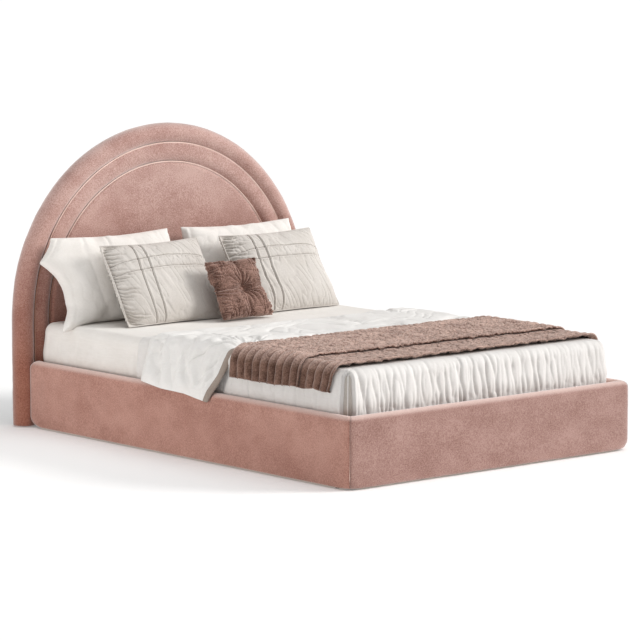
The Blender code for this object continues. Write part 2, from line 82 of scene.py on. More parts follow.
def lobes(phase):
    """Rounded gathers at regular steps: 1 on each rounded top, 0 in the sharp folds between."""
    return np.abs(np.sin(np.pi * phase)) ** 0.7


def smooth_step(low, high, value):
    part = np.clip((value - low) / (high - low), 0, 1)
    return part * part * (3 - 2 * part)


def bell(value, width):
    return np.exp(-(value / width) ** 2)


def planar(first, second, third=0.0):
    """Points for the noise functions from separate arrays."""
    return np.stack(np.broadcast_arrays(first, second, third), -1)


def run_along(points):
    """The distance from a polyline's start to each of its points."""
    steps = np.linalg.norm(np.diff(points, axis=0), axis=1)
    return np.concatenate([[0], np.cumsum(steps)])


def resampled(points, spacing):
    """A polyline's points again, evenly spaced."""
    points = np.asarray(points, float)
    run = run_along(points)
    count = max(int(round(run[-1] / spacing)), 2)
    at = np.linspace(0, run[-1], count + 1)
    return np.stack([np.interp(at, run, points[:, axis]) for axis in range(points.shape[1])], -1)


def arc(centre, radius, start, stop, steps, squash=1.0):
    """Points of an arc in degrees; squash scales its second direction."""
    turns = np.radians(np.linspace(start, stop, steps + 1))
    return [(centre[0] + radius * math.cos(turn), centre[1] + squash * radius * math.sin(turn))
            for turn in turns]


# ---- mesh helpers ----------------------------------------------------------------------------
def grid_quads(rows, columns, wrap=False, first=0):
    index = np.arange(rows * columns).reshape(rows, columns) + first
    if wrap:
        index = np.hstack([index, index[:, :1]])
    quads = [index[:-1, :-1], index[:-1, 1:], index[1:, 1:], index[1:, :-1]]
    return np.stack(quads, -1).reshape(-1, 4).tolist()


def around(grid):
    """A grid's border values in order: foot, right, top, left."""
    return np.concatenate([grid[0, :-1], grid[:-1, -1], grid[-1, :0:-1], grid[:0:-1, 0]])


def grid_normals(points):
    along = np.gradient(points, axis=0)
    across = np.gradient(points, axis=1)
    normal = np.cross(along, across)
    size = np.linalg.norm(normal, axis=-1, keepdims=True)
    return normal / np.maximum(size, 1e-9)


def turned_normals(points, place, axis, sign):
    """Grid normals that, at one place, point along an axis in the direction of the sign."""
    normal = grid_normals(points)
    return normal * sign * np.sign(normal[place][axis])


def added(name, data):
    """A new object in the scene."""
    made = bpy.data.objects.new(name, data)
    bpy.context.scene.collection.objects.link(made)
    return made


def piece(name, verts, faces, look, body, slot, nodes=(), merge=0.0):
    """A smooth shaded object that faces outward, rides on a body and takes a material; the slot
    argument is not used.
    """
    mesh = bpy.data.meshes.new(name)
    mesh.from_pydata(np.asarray(verts).reshape(-1, 3).tolist(), [], faces)
    bm = bmesh.new()
    bm.from_mesh(mesh)
    bmesh.ops.recalc_face_normals(bm, faces=bm.faces)
    if bm.calc_volume(signed=True) < 0:
        bmesh.ops.reverse_faces(bm, faces=bm.faces)
    if merge:
        bmesh.ops.remove_doubles(bm, verts=bm.verts, dist=merge)
    bm.to_mesh(mesh)
    bm.free()
    mesh.shade_smooth()
    mesh.materials.append(look)
    made = added(name, mesh)
    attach(made, body)
    if nodes:
        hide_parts(*nodes)
    return made


def cloth_mesh(points, thick, flip=False):
    """Vertices and faces of a closed sheet: the grid, a copy a thickness behind it, and a rim."""
    normal = grid_normals(points) * (-1 if flip else 1)
    rows, columns = points.shape[:2]
    behind = points - normal * np.asarray(thick)[..., None]
    verts = np.concatenate([points.reshape(-1, 3), behind.reshape(-1, 3)])
    count = rows * columns
    faces = grid_quads(rows, columns)
    faces += [list(reversed(quad)) for quad in grid_quads(rows, columns, first=count)]
    index = np.arange(count).reshape(rows, columns)
    rim = around(index)
    for here, there in zip(rim, np.roll(rim, -1)):
        faces.append([int(here), int(there), int(there + count), int(here + count)])
    return verts, faces


def swept_faces(rows, columns):
    """Faces of a closed outline carried along stations, with its two ends."""
    last = (rows - 1) * columns
    ends = [list(range(columns)), list(range(last, last + columns))]
    return grid_quads(rows, columns, wrap=True) + ends


def taken_from(bm):
    """Vertices and faces of a bmesh, which is freed."""
    bm.verts.index_update()
    verts = [tuple(vert.co) for vert in bm.verts]
    faces = [[vert.index for vert in face.verts] for face in bm.faces]
    bm.free()
    return verts, faces


def tube(name, path, radius, look, body, closed=False):
    """A thin round cord, as a poly curve."""
    data = bpy.data.curves.new(name, "CURVE")
    data.dimensions = "3D"
    data.bevel_depth = radius
    data.bevel_resolution = 2
    data.use_fill_caps = True
    line = data.splines.new("POLY")
    line.points.add(len(path) - 1)
    for point, place in zip(line.points, path):
        point.co = (*place, 1)
    line.use_cyclic_u = closed
    data.materials.append(look)
    made = added(name, data)
    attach(made, body)


# ---- materials -------------------------------------------------------------------------------
class Look:
    """A Principled material that is built up node by node."""

    def __init__(self, name, colour, roughness, metallic=0.0, **sockets):
        self.material = bpy.data.materials.new(name)
        self.material.use_nodes = True
        self.tree = self.material.node_tree
        self.shader = self.tree.nodes["Principled BSDF"]
        sockets |= {"Base Color": colour, "Roughness": roughness, "Metallic": metallic}
        for socket, value in sockets.items():
            self.link(value, socket.replace("_", " "))
        self.place = self.tree.nodes.new("ShaderNodeTexCoord").outputs["Object"]
        self.relief = None

    def put(self, value, socket):
        """Link an output to a socket, or set the socket's own value."""
        if hasattr(value, "is_output"):
            self.tree.links.new(value, socket)
        elif socket.type == "RGBA":
            socket.default_value = (*value, 1)
        else:
            socket.default_value = value

    def link(self, value, socket):
        self.put(value, self.shader.inputs[socket])

    def node(self, kind, **inputs):
        made = self.tree.nodes.new(kind)
        for socket, value in inputs.items():
            self.put(value, made.inputs[socket.replace("_", " ")])
        return made

    def stretched(self, scale):
        return self.node("ShaderNodeMapping", Vector=self.place, Scale=scale).outputs[0]

    def noise(self, scale, detail=3.0, rough=0.55, where=None):
        made = self.node("ShaderNodeTexNoise", Vector=where or self.place, Scale=scale,
                         Detail=detail, Roughness=rough)
        return made.outputs["Fac"]

    def waves(self, scale, axis, distortion, where=None):
        made = self.node("ShaderNodeTexWave", Vector=where or self.place, Scale=scale,
                         Distortion=distortion, Detail=2.0, Detail_Scale=1.5)
        made.bands_direction = axis
        return made.outputs["Fac"]

    def maths(self, operation, first, second):
        made = self.tree.nodes.new("ShaderNodeMath")
        made.operation = operation
        self.put(first, made.inputs[0])
        self.put(second, made.inputs[1])
        return made.outputs[0]

    def blended(self, first, part, second):
        """A sum: part of the first value and the rest of the second."""
        return self.maths("ADD", self.maths("MULTIPLY", first, part),
                          self.maths("MULTIPLY", second, 1 - part))

    def ramp(self, value, stops):
        made = self.node("ShaderNodeValToRGB", Fac=value)
        points = made.color_ramp.elements
        while len(points) < len(stops):
            points.new(0.5)
        for point, (place, colour) in zip(points, stops):
            point.position = place
            point.color = (*colour, 1)
        return made.outputs["Color"]

    def mix(self, share, first, second, blend="MIX"):
        made = self.tree.nodes.new("ShaderNodeMix")
        made.data_type = "RGBA"
        made.blend_type = blend
        for number, value in ((0, share), (6, first), (7, second)):
            self.put(value, made.inputs[number])
        return made.outputs[2]

    def bump(self, height, strength, distance):
        made = self.node("ShaderNodeBump", Height=height, Strength=strength, Distance=distance)
        if self.relief:
            self.tree.links.new(self.relief, made.inputs["Normal"])
        self.relief = made.outputs[0]
        self.link(self.relief, "Normal")

    def weave(self, pitch, strength, distance):
        """Crossing threads a pitch apart, on faces that look any way."""
        scale = math.pi / 10 / pitch
        threads = self.maths("ADD", self.waves(scale, "X", 0.4), self.waves(scale, "Y", 0.4))
        threads = self.maths("ADD", threads, self.waves(scale, "Z", 0.4))
        self.bump(threads, strength, distance)
        return threads


def velvet(name, dark, light, nap, sheen, tint=(1.0, 0.9, 0.86), low=None, painted_highlight_z=None):
    """Cut pile: mottled where it was brushed, with a soft sheen at grazing angles.

    Low is (height, height, tint): painted shade, the tint in full below the first height and
    none above the second, so the colour darkens towards the bottom.  The height for the painted
    highlight is the one above which the colour turns paler: a painted highlight on a roll's top.
    """
    look = Look(name, light, 0.92, Sheen_Weight=sheen, Sheen_Roughness=0.45,
                Sheen_Tint=tint, Specular_IOR_Level=0.10)
    brushed = look.noise(4.5 * nap, 5.0, 0.6, look.stretched((1.0, 1.0, 1.4)))
    pile = look.noise(190.0, 2.0, 0.8)
    fine = look.noise(420.0, 2.0, 0.6)
    shade = look.blended(brushed, 0.40, pile)
    colour = look.ramp(shade, [(0.39, dark), (0.60, light)])
    colour = look.mix(look.maths("MULTIPLY", fine, 0.18), colour, dark)
    # painted shade: the colour darkened by the tint low down
    if low:
        height = look.node("ShaderNodeSeparateXYZ", Vector=look.place).outputs["Z"]
        share = look.ramp(height, [(low[0], (1, 1, 1)), (low[1], (0, 0, 0))])
        colour = look.mix(share, colour, low[2], "MULTIPLY")
    # painted highlight: the colour turns paler above the given height
    if painted_highlight_z:
        height = look.node("ShaderNodeSeparateXYZ", Vector=look.place).outputs["Z"]
        share = look.ramp(height, [(painted_highlight_z, (0, 0, 0)), (painted_highlight_z + 0.014, (0.55, 0.55, 0.55))])
        colour = look.mix(share, colour, (0.86, 0.66, 0.60))
    look.link(colour, "Base Color")
    look.bump(pile, 0.45, 0.0020)
    look.bump(fine, 0.35, 0.0006)
    return look.material


def cotton(name, light, dark, pitch=0.0011, crinkle=0.35):
    """Woven cotton: threads, slubs and a slight unevenness of colour."""
    look = Look(name, light, 0.88, Sheen_Weight=0.12, Sheen_Roughness=0.5,
                Specular_IOR_Level=0.2)
    cloudy = look.noise(7.0, 4.0, 0.6)
    slub = look.noise(160.0, 3.0, 0.6, look.stretched((1.0, 0.12, 1.0)))
    shade = look.blended(cloudy, 0.6, slub)
    look.link(look.ramp(shade, [(0.32, dark), (0.60, light)]), "Base Color")
    look.bump(look.noise(26.0, 5.0, 0.6), crinkle, 0.0035)
    look.weave(pitch, 0.16, 0.0004)
    return look.material


def timber(name, light, dark, along, gloss=0.55):
    """Planed wood with grain along one axis."""
    stretch = {"X": (0.06, 1, 1), "Y": (1, 0.06, 1), "Z": (1, 1, 0.06)}[along]
    look = Look(name, light, gloss, Specular_IOR_Level=0.35)
    grain = look.noise(60.0, 6.0, 0.65, look.stretched(stretch))
    rings = look.waves(5.0, "Y" if along != "Y" else "X", 6.0, look.stretched(stretch))
    shade = look.blended(grain, 0.6, rings)
    look.link(look.ramp(shade, [(0.30, dark), (0.68, light)]), "Base Color")
    look.link(look.ramp(grain, [(0.3, (gloss + 0.15,) * 3), (0.7, (gloss - 0.08,) * 3)]),
              "Roughness")
    look.bump(grain, 0.25, 0.0006)
    return look.material


def chipboard():
    look = Look("chipboard", (0.56, 0.43, 0.28), 0.8, Specular_IOR_Level=0.2)
    chips = look.node("ShaderNodeTexVoronoi", Vector=look.stretched((1.0, 1.0, 1.6)), Scale=210.0)
    tone = look.ramp(chips.outputs["Color"], [(0.2, (0.40, 0.28, 0.16)), (0.8, (0.66, 0.52, 0.35))])
    look.link(tone, "Base Color")
    look.bump(chips.outputs["Distance"], 0.3, 0.0006)
    return look.material


def coated(name, tones, patches, gloss, clouds, grain, bump, metallic=0.0, **sockets):
    """Metal or plastic: tones in patches, a gloss that varies in clouds and a fine grain."""
    look = Look(name, tones[0][1], gloss[0], metallic, **sockets)
    look.link(look.ramp(look.noise(*patches), tones), "Base Color")
    look.link(look.ramp(look.noise(*clouds), [(0.3, gloss[:1] * 3), (0.7, gloss[1:] * 3)]),
              "Roughness")
    look.bump(look.noise(*grain), *bump)
    return look.material


def lining_cloth():
    look = Look("non_woven_lining", (0.030, 0.028, 0.030), 0.95, Specular_IOR_Level=0.15)
    dots = look.node("ShaderNodeTexVoronoi", Vector=look.place, Scale=420.0)
    look.link(look.ramp(look.noise(300.0, 4.0, 0.7), [(0.3, (0.018, 0.017, 0.018)),
                                                     (0.7, (0.052, 0.050, 0.052))]), "Base Color")
    look.bump(dots.outputs["Distance"], 0.4, 0.0005)
    return look.material


# One pink velvet in three tones, for the foot rail, the side rails and the headboard: lit and
# shaded copies of one material, painted light and shade.  The rails get a painted highlight along
# their top rolls.
FOOT_VELVET = velvet("foot_velvet", (0.250, 0.122, 0.097), (0.440, 0.270, 0.232), 1.0, 1.0,
                     (1.0, 0.95, 0.94), painted_highlight_z=0.272)
SIDE_VELVET = velvet("side_velvet", (0.320, 0.138, 0.101), (0.540, 0.292, 0.232), 1.0, 1.0,
                     (1.0, 0.93, 0.90), painted_highlight_z=0.272)
# the headboard's velvet is darkened towards the bottom of its legs: painted shade
HEAD_VELVET = velvet("headboard_velvet", (0.370, 0.198, 0.166), (0.640, 0.440, 0.394), 1.0, 1.0,
                     (1.0, 0.96, 0.95), low=(0.25, 1.0, (0.62, 0.40, 0.31)))
# pale piping: its pale colour is a painted highlight on the seams' edges, darkened low on the legs
# as painted shade
PAINTED_HIGHLIGHT_PIPING = velvet("painted_highlight_piping", (0.820, 0.600, 0.520), (0.940, 0.760, 0.690), 2.0, 0.6,
                low=(0.68, 0.90, (0.46, 0.30, 0.24)))
# pale corner welt: its pale colour is a painted highlight
PAINTED_HIGHLIGHT_WELT = velvet("painted_highlight_welt", (0.820, 0.600, 0.520), (0.940, 0.760, 0.690), 2.0, 0.6)
BROWN_VELVET = velvet("brown_velvet", (0.075, 0.034, 0.025), (0.370, 0.222, 0.178), 3.0, 0.72,
                      (1.0, 0.78, 0.70))
# the throw is darkened low on its hanging side: painted shade
TAUPE_QUILT = velvet("taupe_velvet", (0.235, 0.150, 0.123), (0.680, 0.485, 0.414), 4.0, 0.50,
                     (1.0, 0.86, 0.80), low=(0.44, 0.486, (0.40, 0.33, 0.29)))
SHEET_COTTON = cotton("washed_cotton", (0.83, 0.80, 0.765), (0.77, 0.735, 0.695))
WHITE_COTTON = cotton("white_cotton", (0.83, 0.815, 0.795), (0.78, 0.76, 0.735), 0.0009, 0.2)
COVERLET_COTTON = cotton("coverlet_cotton", (0.76, 0.738, 0.718), (0.70, 0.675, 0.652), 0.0009, 0.2)
# darker cotton for the strip in the coverlet's folded corner: painted shade
PLEAT_SHADE_COTTON = cotton("pleat_shade_cotton", (0.60, 0.555, 0.510), (0.53, 0.485, 0.440), 0.0010)
SHAM_COTTON = cotton("crinkled_cotton", (0.65, 0.615, 0.58), (0.56, 0.52, 0.48), 0.0013, 0.8)
BINDING_COTTON = cotton("binding_cotton", (0.37, 0.308, 0.265), (0.31, 0.253, 0.215), 0.0012)
# dark cotton for the cords along the cushions' pleats: painted shadow lines
PLEAT_SHADOW_COTTON = cotton("pleat_shadow_cotton", (0.20, 0.155, 0.125), (0.14, 0.105, 0.085), 0.0010)
TICKING = cotton("mattress_ticking", (0.80, 0.78, 0.74), (0.72, 0.70, 0.66), 0.0022, 0.5)
RIBBON = cotton("woven_ribbon", (0.78, 0.74, 0.66), (0.70, 0.65, 0.56), 0.0016, 0.2)
PINE_X, PINE_Y, PINE_Z = (
    timber(name, (0.72, 0.53, 0.33), (0.55, 0.37, 0.20), axis)
    for name, axis in (("pine_across", "X"), ("pine_along", "Y"), ("pine_upright", "Z")))
BIRCH = timber("laminated_birch", (0.80, 0.67, 0.48), (0.68, 0.54, 0.36), "X", 0.42)
CHIPBOARD = chipboard()
POWDER_COAT = coated("powder_coated_steel",
                     [(0.3, (0.020, 0.020, 0.022)), (0.75, (0.045, 0.045, 0.048))], (30.0, 4.0),
                     (0.38, 0.58), (14.0, 3.0), (900.0, 2.0, 0.5), (0.25, 0.0003), Coat_Weight=0.1)
ZINC = coated("zinc_plated_steel", [(0.3, (0.50, 0.50, 0.48)), (0.7, (0.70, 0.69, 0.65))],
              (220.0, 4.0, 0.6), (0.26, 0.44), (220.0, 4.0, 0.6), (1200.0, 2.0), (0.1, 0.0002),
              1.0)
PLASTIC = coated("moulded_black_plastic",
                 [(0.3, (0.014, 0.014, 0.015)), (0.7, (0.030, 0.030, 0.031))], (1500.0, 2.0),
                 (0.42, 0.60), (40.0,), (1500.0, 2.0), (0.2, 0.0002))
LINING = lining_cloth()


def dress_frame():
    """Give every CAD piece that stays in view a finished material."""
    looks = (("bolt", ZINC), ("bracket", POWDER_COAT), ("hanger", POWDER_COAT),
             ("centre_leg", POWDER_COAT), ("glide", PLASTIC), ("ribbon", RIBBON),
             ("rim_frame", PINE_Z), ("batten", PINE_X), ("ledger", PINE_Y),
             ("centre_beam", PINE_Y), ("slat_", BIRCH), ("board", CHIPBOARD))
    for name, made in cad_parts.items():
        for word, look in looks:
            if word in name:
                made.data.materials.clear()
                made.data.materials.append(look)
                break


# ---- headboard -------------------------------------------------------------------------------
outer_low, outer_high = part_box("headboard_outer_arch")
middle_low, middle_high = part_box("headboard_middle_arch")
panel_low, panel_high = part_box("headboard_centre_panel")
OUTER_RADIUS = outer_high[0]
ARCH_CENTRE_Z = outer_high[2] - OUTER_RADIUS
OUTER_SEAM = middle_high[0]
INNER_SEAM = panel_high[0]
FRONT_Y = outer_low[1]
BACK_Y = outer_high[1]
BOARD_Y = panel_high[1]
SEAM_GAP = 0.0004
SECTION_STEP = 0.0045
DISC_SPOKES = 300


def arch_surface(section, foot_z):
    """Carry (radius, y) points up a leg, round the arch and down the other leg."""
    spacing = 0.012
    rise = ARCH_CENTRE_Z - foot_z
    leg = int(rise / spacing) + 1
    turn = int(math.pi * section[:, 0].max() / spacing)
    rows = []
    for drop in np.linspace(rise, 0, leg + 1)[:-1]:
        rows.append(planar(section[:, 0], section[:, 1], ARCH_CENTRE_Z - drop))
    for angle in np.linspace(0, math.pi, turn + 1):
        rows.append(planar(section[:, 0] * math.cos(angle), section[:, 1],
                           ARCH_CENTRE_Z + section[:, 0] * math.sin(angle)))
    for drop in np.linspace(0, rise, leg + 1)[1:]:
        rows.append(planar(-section[:, 0], section[:, 1], ARCH_CENTRE_Z - drop))
    return np.array(rows)


def arch_pad(name, section, foot_z, node, sag=0.0012):
    """A foam pad under velvet, with the slight unevenness of a hand-stretched cover."""
    points = arch_surface(section, foot_z)
    rows, columns = points.shape[:2]
    closed = np.concatenate([points[:, -1:], points, points[:, :1]], axis=1)
    normal = grid_normals(closed)[:, 1:-1]
    outward = normal * np.sign(-normal[rows // 2, columns // 2, 1] or 1)
    wave = sag * noise(points, 0.11) + 0.4 * sag * noise(points, 0.035, 5.0)
    points = points + outward * wave[..., None]
    faces = swept_faces(rows, columns)
    piece(name, points, faces, HEAD_VELVET, BED, "pink_velvet", (node,))


def build_headboard():
    # outer arch: its face falls from the roll's crest to the seam, its rim is a half round
    roll = 0.766
    reach = OUTER_RADIUS - roll
    deep = (BACK_Y - FRONT_Y) / 2
    middle_y = FRONT_Y + deep
    inner = OUTER_SEAM + SEAM_GAP
    fall = 0.036
    outline = [(inner, BOARD_Y), (inner, FRONT_Y + fall)]
    outline += arc((roll, FRONT_Y + fall), roll - inner, 180, 270, 12, fall / (roll - inner))[1:]
    outline += arc((roll, middle_y), reach, -90, 90, 24, deep / reach)[1:-1]
    outline += [(roll + 0.009, BACK_Y - 0.0006), (roll + 0.009, BOARD_Y)]
    arch_pad("headboard_outer_pad", resampled(outline, SECTION_STEP), outer_low[2],
             "headboard_outer_arch")

    # middle arch: it rises from the inner seam to a small round edge at the outer one
    outer = OUTER_SEAM - SEAM_GAP
    inner = INNER_SEAM + SEAM_GAP
    fall = 0.042
    edge = 0.007
    front = FRONT_Y + 0.008
    deep = 0.031
    outline = [(inner, BOARD_Y), (inner, front + deep)]
    outline += arc((inner + fall, front + deep), fall, 180, 270, 12, deep / fall)[1:]
    outline += [(outer - 0.022, front + 0.002), (outer - edge, front + 0.0055)]
    outline += arc((outer - edge, front + 0.0055 + edge), edge, 270, 360, 6)[1:]
    outline += [(outer, BOARD_Y)]
    arch_pad("headboard_middle_pad", resampled(outline, SECTION_STEP), middle_low[2],
             "headboard_middle_arch", 0.0009)

    # pale piping along both seams: its pale colour is a painted highlight
    for name, radius, y in (("outer_seam_piping", OUTER_SEAM + 0.0006, FRONT_Y + 0.0172),
                            ("inner_seam_piping", INNER_SEAM + 0.0006, FRONT_Y + 0.0225)):
        path = arch_surface(np.array([[radius, y]]), middle_low[2] + 0.002)[:, 0]
        tube(name, path, 0.0030, PAINTED_HIGHLIGHT_PIPING, BED)

    centre_panel()
    back_lining()


def ring_shares(rings):
    """How far out from the middle each ring of a disc lies."""
    return np.linspace(0.02, 1, rings)


def arch_disc(radius, foot_z, rings):
    """Points (x, z) of a flat arch-topped panel as rings about its middle, outermost last."""
    outline = [(radius, foot_z), (radius, ARCH_CENTRE_Z)]
    outline += arc((0, ARCH_CENTRE_Z), radius, 0, 180, 90)[1:]
    outline += [(-radius, foot_z), (radius, foot_z)]
    edge = resampled(outline, (2 * radius * 2.8) / DISC_SPOKES)[:-1]
    middle = np.array([0.0, ARCH_CENTRE_Z])
    return np.array([middle + (edge - middle) * share for share in ring_shares(rings)])


def disc_piece(name, front, middle_y, back_y, look, slot, node):
    """Close a disc of rings with a middle point and a flat back."""
    rings, spokes = front.shape[:2]
    back = front[-1].copy()
    back[:, 1] = back_y
    verts = np.concatenate([front.reshape(-1, 3), back, [(0, middle_y, ARCH_CENTRE_Z)]])
    faces = grid_quads(rings + 1, spokes, wrap=True)
    centre = len(verts) - 1
    faces += [[centre, (here + 1) % spokes, here] for here in range(spokes)]
    faces.append(list(range(rings * spokes, centre)))
    return piece(name, verts, faces, look, BED, slot, (node,))


def centre_panel():
    rings = 60
    flat = arch_disc(INNER_SEAM - 0.0006, panel_low[2], rings)
    x, z = flat[..., 0], flat[..., 1]
    rim = 1 - ring_shares(rings)[:, None] * np.ones_like(x)
    y = panel_low[1] + 0.0050 - 0.0015 * smooth_step(0, 0.25, rim) + 0.0090 * np.exp(-rim / 0.006)
    points = planar(x, y, z)
    points[..., 1] += 0.0010 * noise(points, 0.16) + 0.0004 * noise(points, 0.05, 3.0)
    made = disc_piece("headboard_panel_pad", points, panel_low[1] - 0.0015, BOARD_Y, HEAD_VELVET,
                      "pink_velvet", "headboard_centre_panel")


def back_lining():
    low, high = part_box("headboard_back_cover")
    radius = high[0]
    rings = 40
    flat = arch_disc(radius, low[2], rings)
    x, z = flat[..., 0], flat[..., 1]
    slack = 1 - ring_shares(rings)[:, None] ** 6
    sag = slack * (0.5 + 0.5 * noise(planar(x, z), 0.22, 2.0))
    y = high[1] - 0.0022 * sag
    made = disc_piece("headboard_back_lining", planar(x, y, z), high[1] - 0.001, low[1], LINING,
                      "black_lining", "headboard_back_cover")
    staple = Matrix.Diagonal((0.0100, 0.0012, 0.0010, 1))
    bm = bmesh.new()
    for x, z in resampled(arc((0, ARCH_CENTRE_Z), radius - 0.012, 4, 176, 60), 0.075):
        turn = math.atan2(z - ARCH_CENTRE_Z, x) + math.pi / 2
        place = Matrix.Translation((x, high[1] - 0.0001, z)) @ Matrix.Rotation(-turn, 4, "Y")
        bmesh.ops.create_cube(bm, size=1.0, matrix=place @ staple)
    piece("lining_staples", *taken_from(bm), ZINC, BED, "zinc_steel")


# ---- rails -----------------------------------------------------------------------------------
foot_cover_low, foot_cover_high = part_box("foot_rail_cover")
left_cover_low, left_cover_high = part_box("left_rail_cover")
foot_board_low, foot_board_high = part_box("foot_rail_board")
FOOT_Y = foot_cover_low[1]
HALF_RAIL = -left_cover_low[0]
RAIL_FOOT = foot_cover_low[2]
RAIL_TOP = foot_cover_high[2]
RAIL_HEAD_Y = left_cover_high[1]
# the cover's section: it wraps the board, with a glue gap, and ends in a lip behind it
GLUE = 0.0003
FACE_PAD = foot_board_low[1] - GLUE - FOOT_Y
BOARD_DEEP = foot_board_high[1] + GLUE - FOOT_Y
BOARD_TOP = foot_board_high[2] + GLUE
LIP_FOOT = 0.236
ROLL = 0.023


def rail_outline():
    """Closed (depth in from the outer face, height) outline of the padded cover."""
    under = 0.014
    outline = [(FACE_PAD, RAIL_FOOT)]
    outline += arc((under * 0.7, RAIL_FOOT + under), under, 270, 180, 8)[1:]
    outline = [(depth if depth > 0 else 0.0, height) for depth, height in outline]
    outline += [(0.0, RAIL_FOOT + under + 0.01)]
    outline += arc((ROLL, RAIL_TOP - ROLL), ROLL, 180, 0, 18)
    outline += [(2 * ROLL, LIP_FOOT), (BOARD_DEEP, LIP_FOOT), (BOARD_DEEP, BOARD_TOP),
                (FACE_PAD, BOARD_TOP), (FACE_PAD, RAIL_FOOT)]
    return resampled(outline, 0.006)[:-1]


def rounded_off(distance, radius):
    """How far a rounded corner's outline lies in from the square corner."""
    inside = np.clip(radius - distance, 0, radius)
    return radius - np.sqrt(radius ** 2 - inside ** 2)


def corner_recess(distance, height, reach=1.0):
    """How far a cover's face draws in near a corner: a shallow valley, round at top and foot."""
    near = np.clip(1 - distance / 0.038, 0, 1)
    wide = np.clip(1 - distance / 0.075, 0, 1)
    foot = rounded_off(height - RAIL_FOOT, 0.046)
    top = rounded_off(RAIL_TOP - height, 0.034)
    return reach * (0.007 * near ** 2 + 0.85 * wide ** 2 * (foot + 0.7 * top))


def rail_stations(length):
    """Places along a rail from -1 to 1, closer together near its ends."""
    spacing = 0.014
    even = np.linspace(-1, 1, int(length / spacing) + 1)
    return 0.55 * even + 0.45 * np.sin(even * math.pi / 2)


def crown(points, distance, height):
    """The face's slight swell, with a stretched cover's unevenness."""
    middle = np.sin(np.clip((height - RAIL_FOOT) / (RAIL_TOP - RAIL_FOOT), 0, 1) * math.pi)
    swell = 0.0035 * middle * smooth_step(0, 0.12, distance)
    return swell + 0.0013 * noise(points, 0.14) + 0.0005 * noise(points, 0.04, 4.0)


def build_rails():
    # every cover is its section at stations along the rail, mitred where two rails meet
    outline = rail_outline()
    depth = outline[:, 0][None, :]
    height = outline[:, 1][None, :]
    outside = np.clip(1 - depth / (2 * ROLL), 0, 1)

    place = rail_stations(2 * HALF_RAIL)[:, None]
    x = place * (HALF_RAIL - depth)
    distance = HALF_RAIL - np.abs(x)
    draw = corner_recess(distance, height) * outside
    puff = crown(planar(x, FOOT_Y, height), distance, height) * outside
    deep = np.clip(depth + draw - puff, -0.01, None)
    x = np.sign(place) * np.minimum(np.abs(x), HALF_RAIL - deep - 0.0003)
    rail_piece("foot_rail_velvet", planar(x, FOOT_Y + deep, height + 0 * x), FOOT_VELVET,
               "foot_rail_cover")

    length = RAIL_HEAD_Y - FOOT_Y
    share = (rail_stations(length)[:, None] + 1) / 2
    for side, sign in (("left", -1), ("right", 1)):
        start = FOOT_Y + depth
        y = start + share * (RAIL_HEAD_Y - start)
        distance = y - FOOT_Y
        head = RAIL_HEAD_Y - y
        draw = (corner_recess(distance, height) + corner_recess(head, height, 0.55)) * outside
        puff = crown(planar(sign * HALF_RAIL, y, height), np.minimum(distance, head),
                     height) * outside
        deep = np.clip(depth + draw - puff, -0.01, None)
        y = np.maximum(y, FOOT_Y + deep + 0.0003)
        rounding = rounded_off(RAIL_TOP - height, 0.040) + rounded_off(height - RAIL_FOOT, 0.048)
        y = y - 0.9 * rounding * smooth_step(RAIL_HEAD_Y - 0.12, RAIL_HEAD_Y, y)
        rail_piece(side + "_rail_velvet", planar(sign * (HALF_RAIL - deep), y, height + 0 * y),
                   SIDE_VELVET, side + "_rail_cover")
        # a pale welt down each foot corner: its pale colour is a painted highlight
        corner = []
        for z in np.linspace(RAIL_FOOT + 0.004, RAIL_TOP - 0.004, 40):
            inset = corner_recess(0.0, z) + np.interp(RAIL_TOP - z, [0, ROLL], [ROLL * 0.55, 0])
            corner.append((sign * (HALF_RAIL - inset - 0.0008), FOOT_Y + inset + 0.0008, z))
        tube(side + "_corner_welt", corner, 0.0016, PAINTED_HIGHLIGHT_WELT, BED)


def rail_piece(name, points, look, node):
    faces = swept_faces(*points.shape[:2])
    piece(name, points, faces, look, BED, "pink_velvet", (node,))


# ---- mattress, sheet and coverlet ------------------------------------------------------------
bed_low, bed_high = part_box("mattress")
sheet_low, sheet_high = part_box("fitted_sheet")
cover_low, cover_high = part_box("coverlet")
EDGE = 0.042
SWELL_Z = 0.315               # the bedding swells out just above the rails


def bed_skin_points(half, foot_y, head_y, hem_z, top_z, closed, spacing, rows):
    """Rows from the hem up the sides, over the edge and in to the bed's middle line.

    A closed skin goes round all four sides; an open one starts and ends at its head edge.
    """
    corner = 0.036
    if closed:
        line = arc((-half + corner, head_y - corner), corner, 90, 180, 10)
    else:
        line = [(-half, head_y)]
    line += arc((-half + corner, foot_y + corner), corner, 180, 270, 12)
    line += arc((half - corner, foot_y + corner), corner, 270, 360, 12)
    if closed:
        line += arc((half - corner, head_y - corner), corner, 0, 90, 10)
        line = resampled(line + line[:1], spacing)[:-1]
    else:
        line = resampled(line + [(half, head_y)], spacing)
    spine_y = np.clip(line[:, 1], foot_y + half, head_y - (half if closed else 0))
    spine = np.stack([0 * spine_y, spine_y], -1)
    normal = -np.stack([np.gradient(line[:, 1]), -np.gradient(line[:, 0])], -1)
    normal /= np.linalg.norm(normal, axis=1, keepdims=True)
    profile = [(0.0, z) for z in np.linspace(hem_z, top_z - EDGE, rows)]
    profile += [(EDGE - x, z) for x, z in arc((0, top_z - EDGE), EDGE, 0, 90, 8)[1:]]
    points = [np.insert(line + normal * inset, 2, z, axis=1) for inset, z in profile]
    rim = line + normal * EDGE
    for share in (0.04, 0.09, 0.16, 0.26, 0.40, 0.58, 0.78, 0.990, 0.997):
        points.append(np.insert(rim + (spine - rim) * share, 2, top_z, axis=1))
    return np.array(points), line


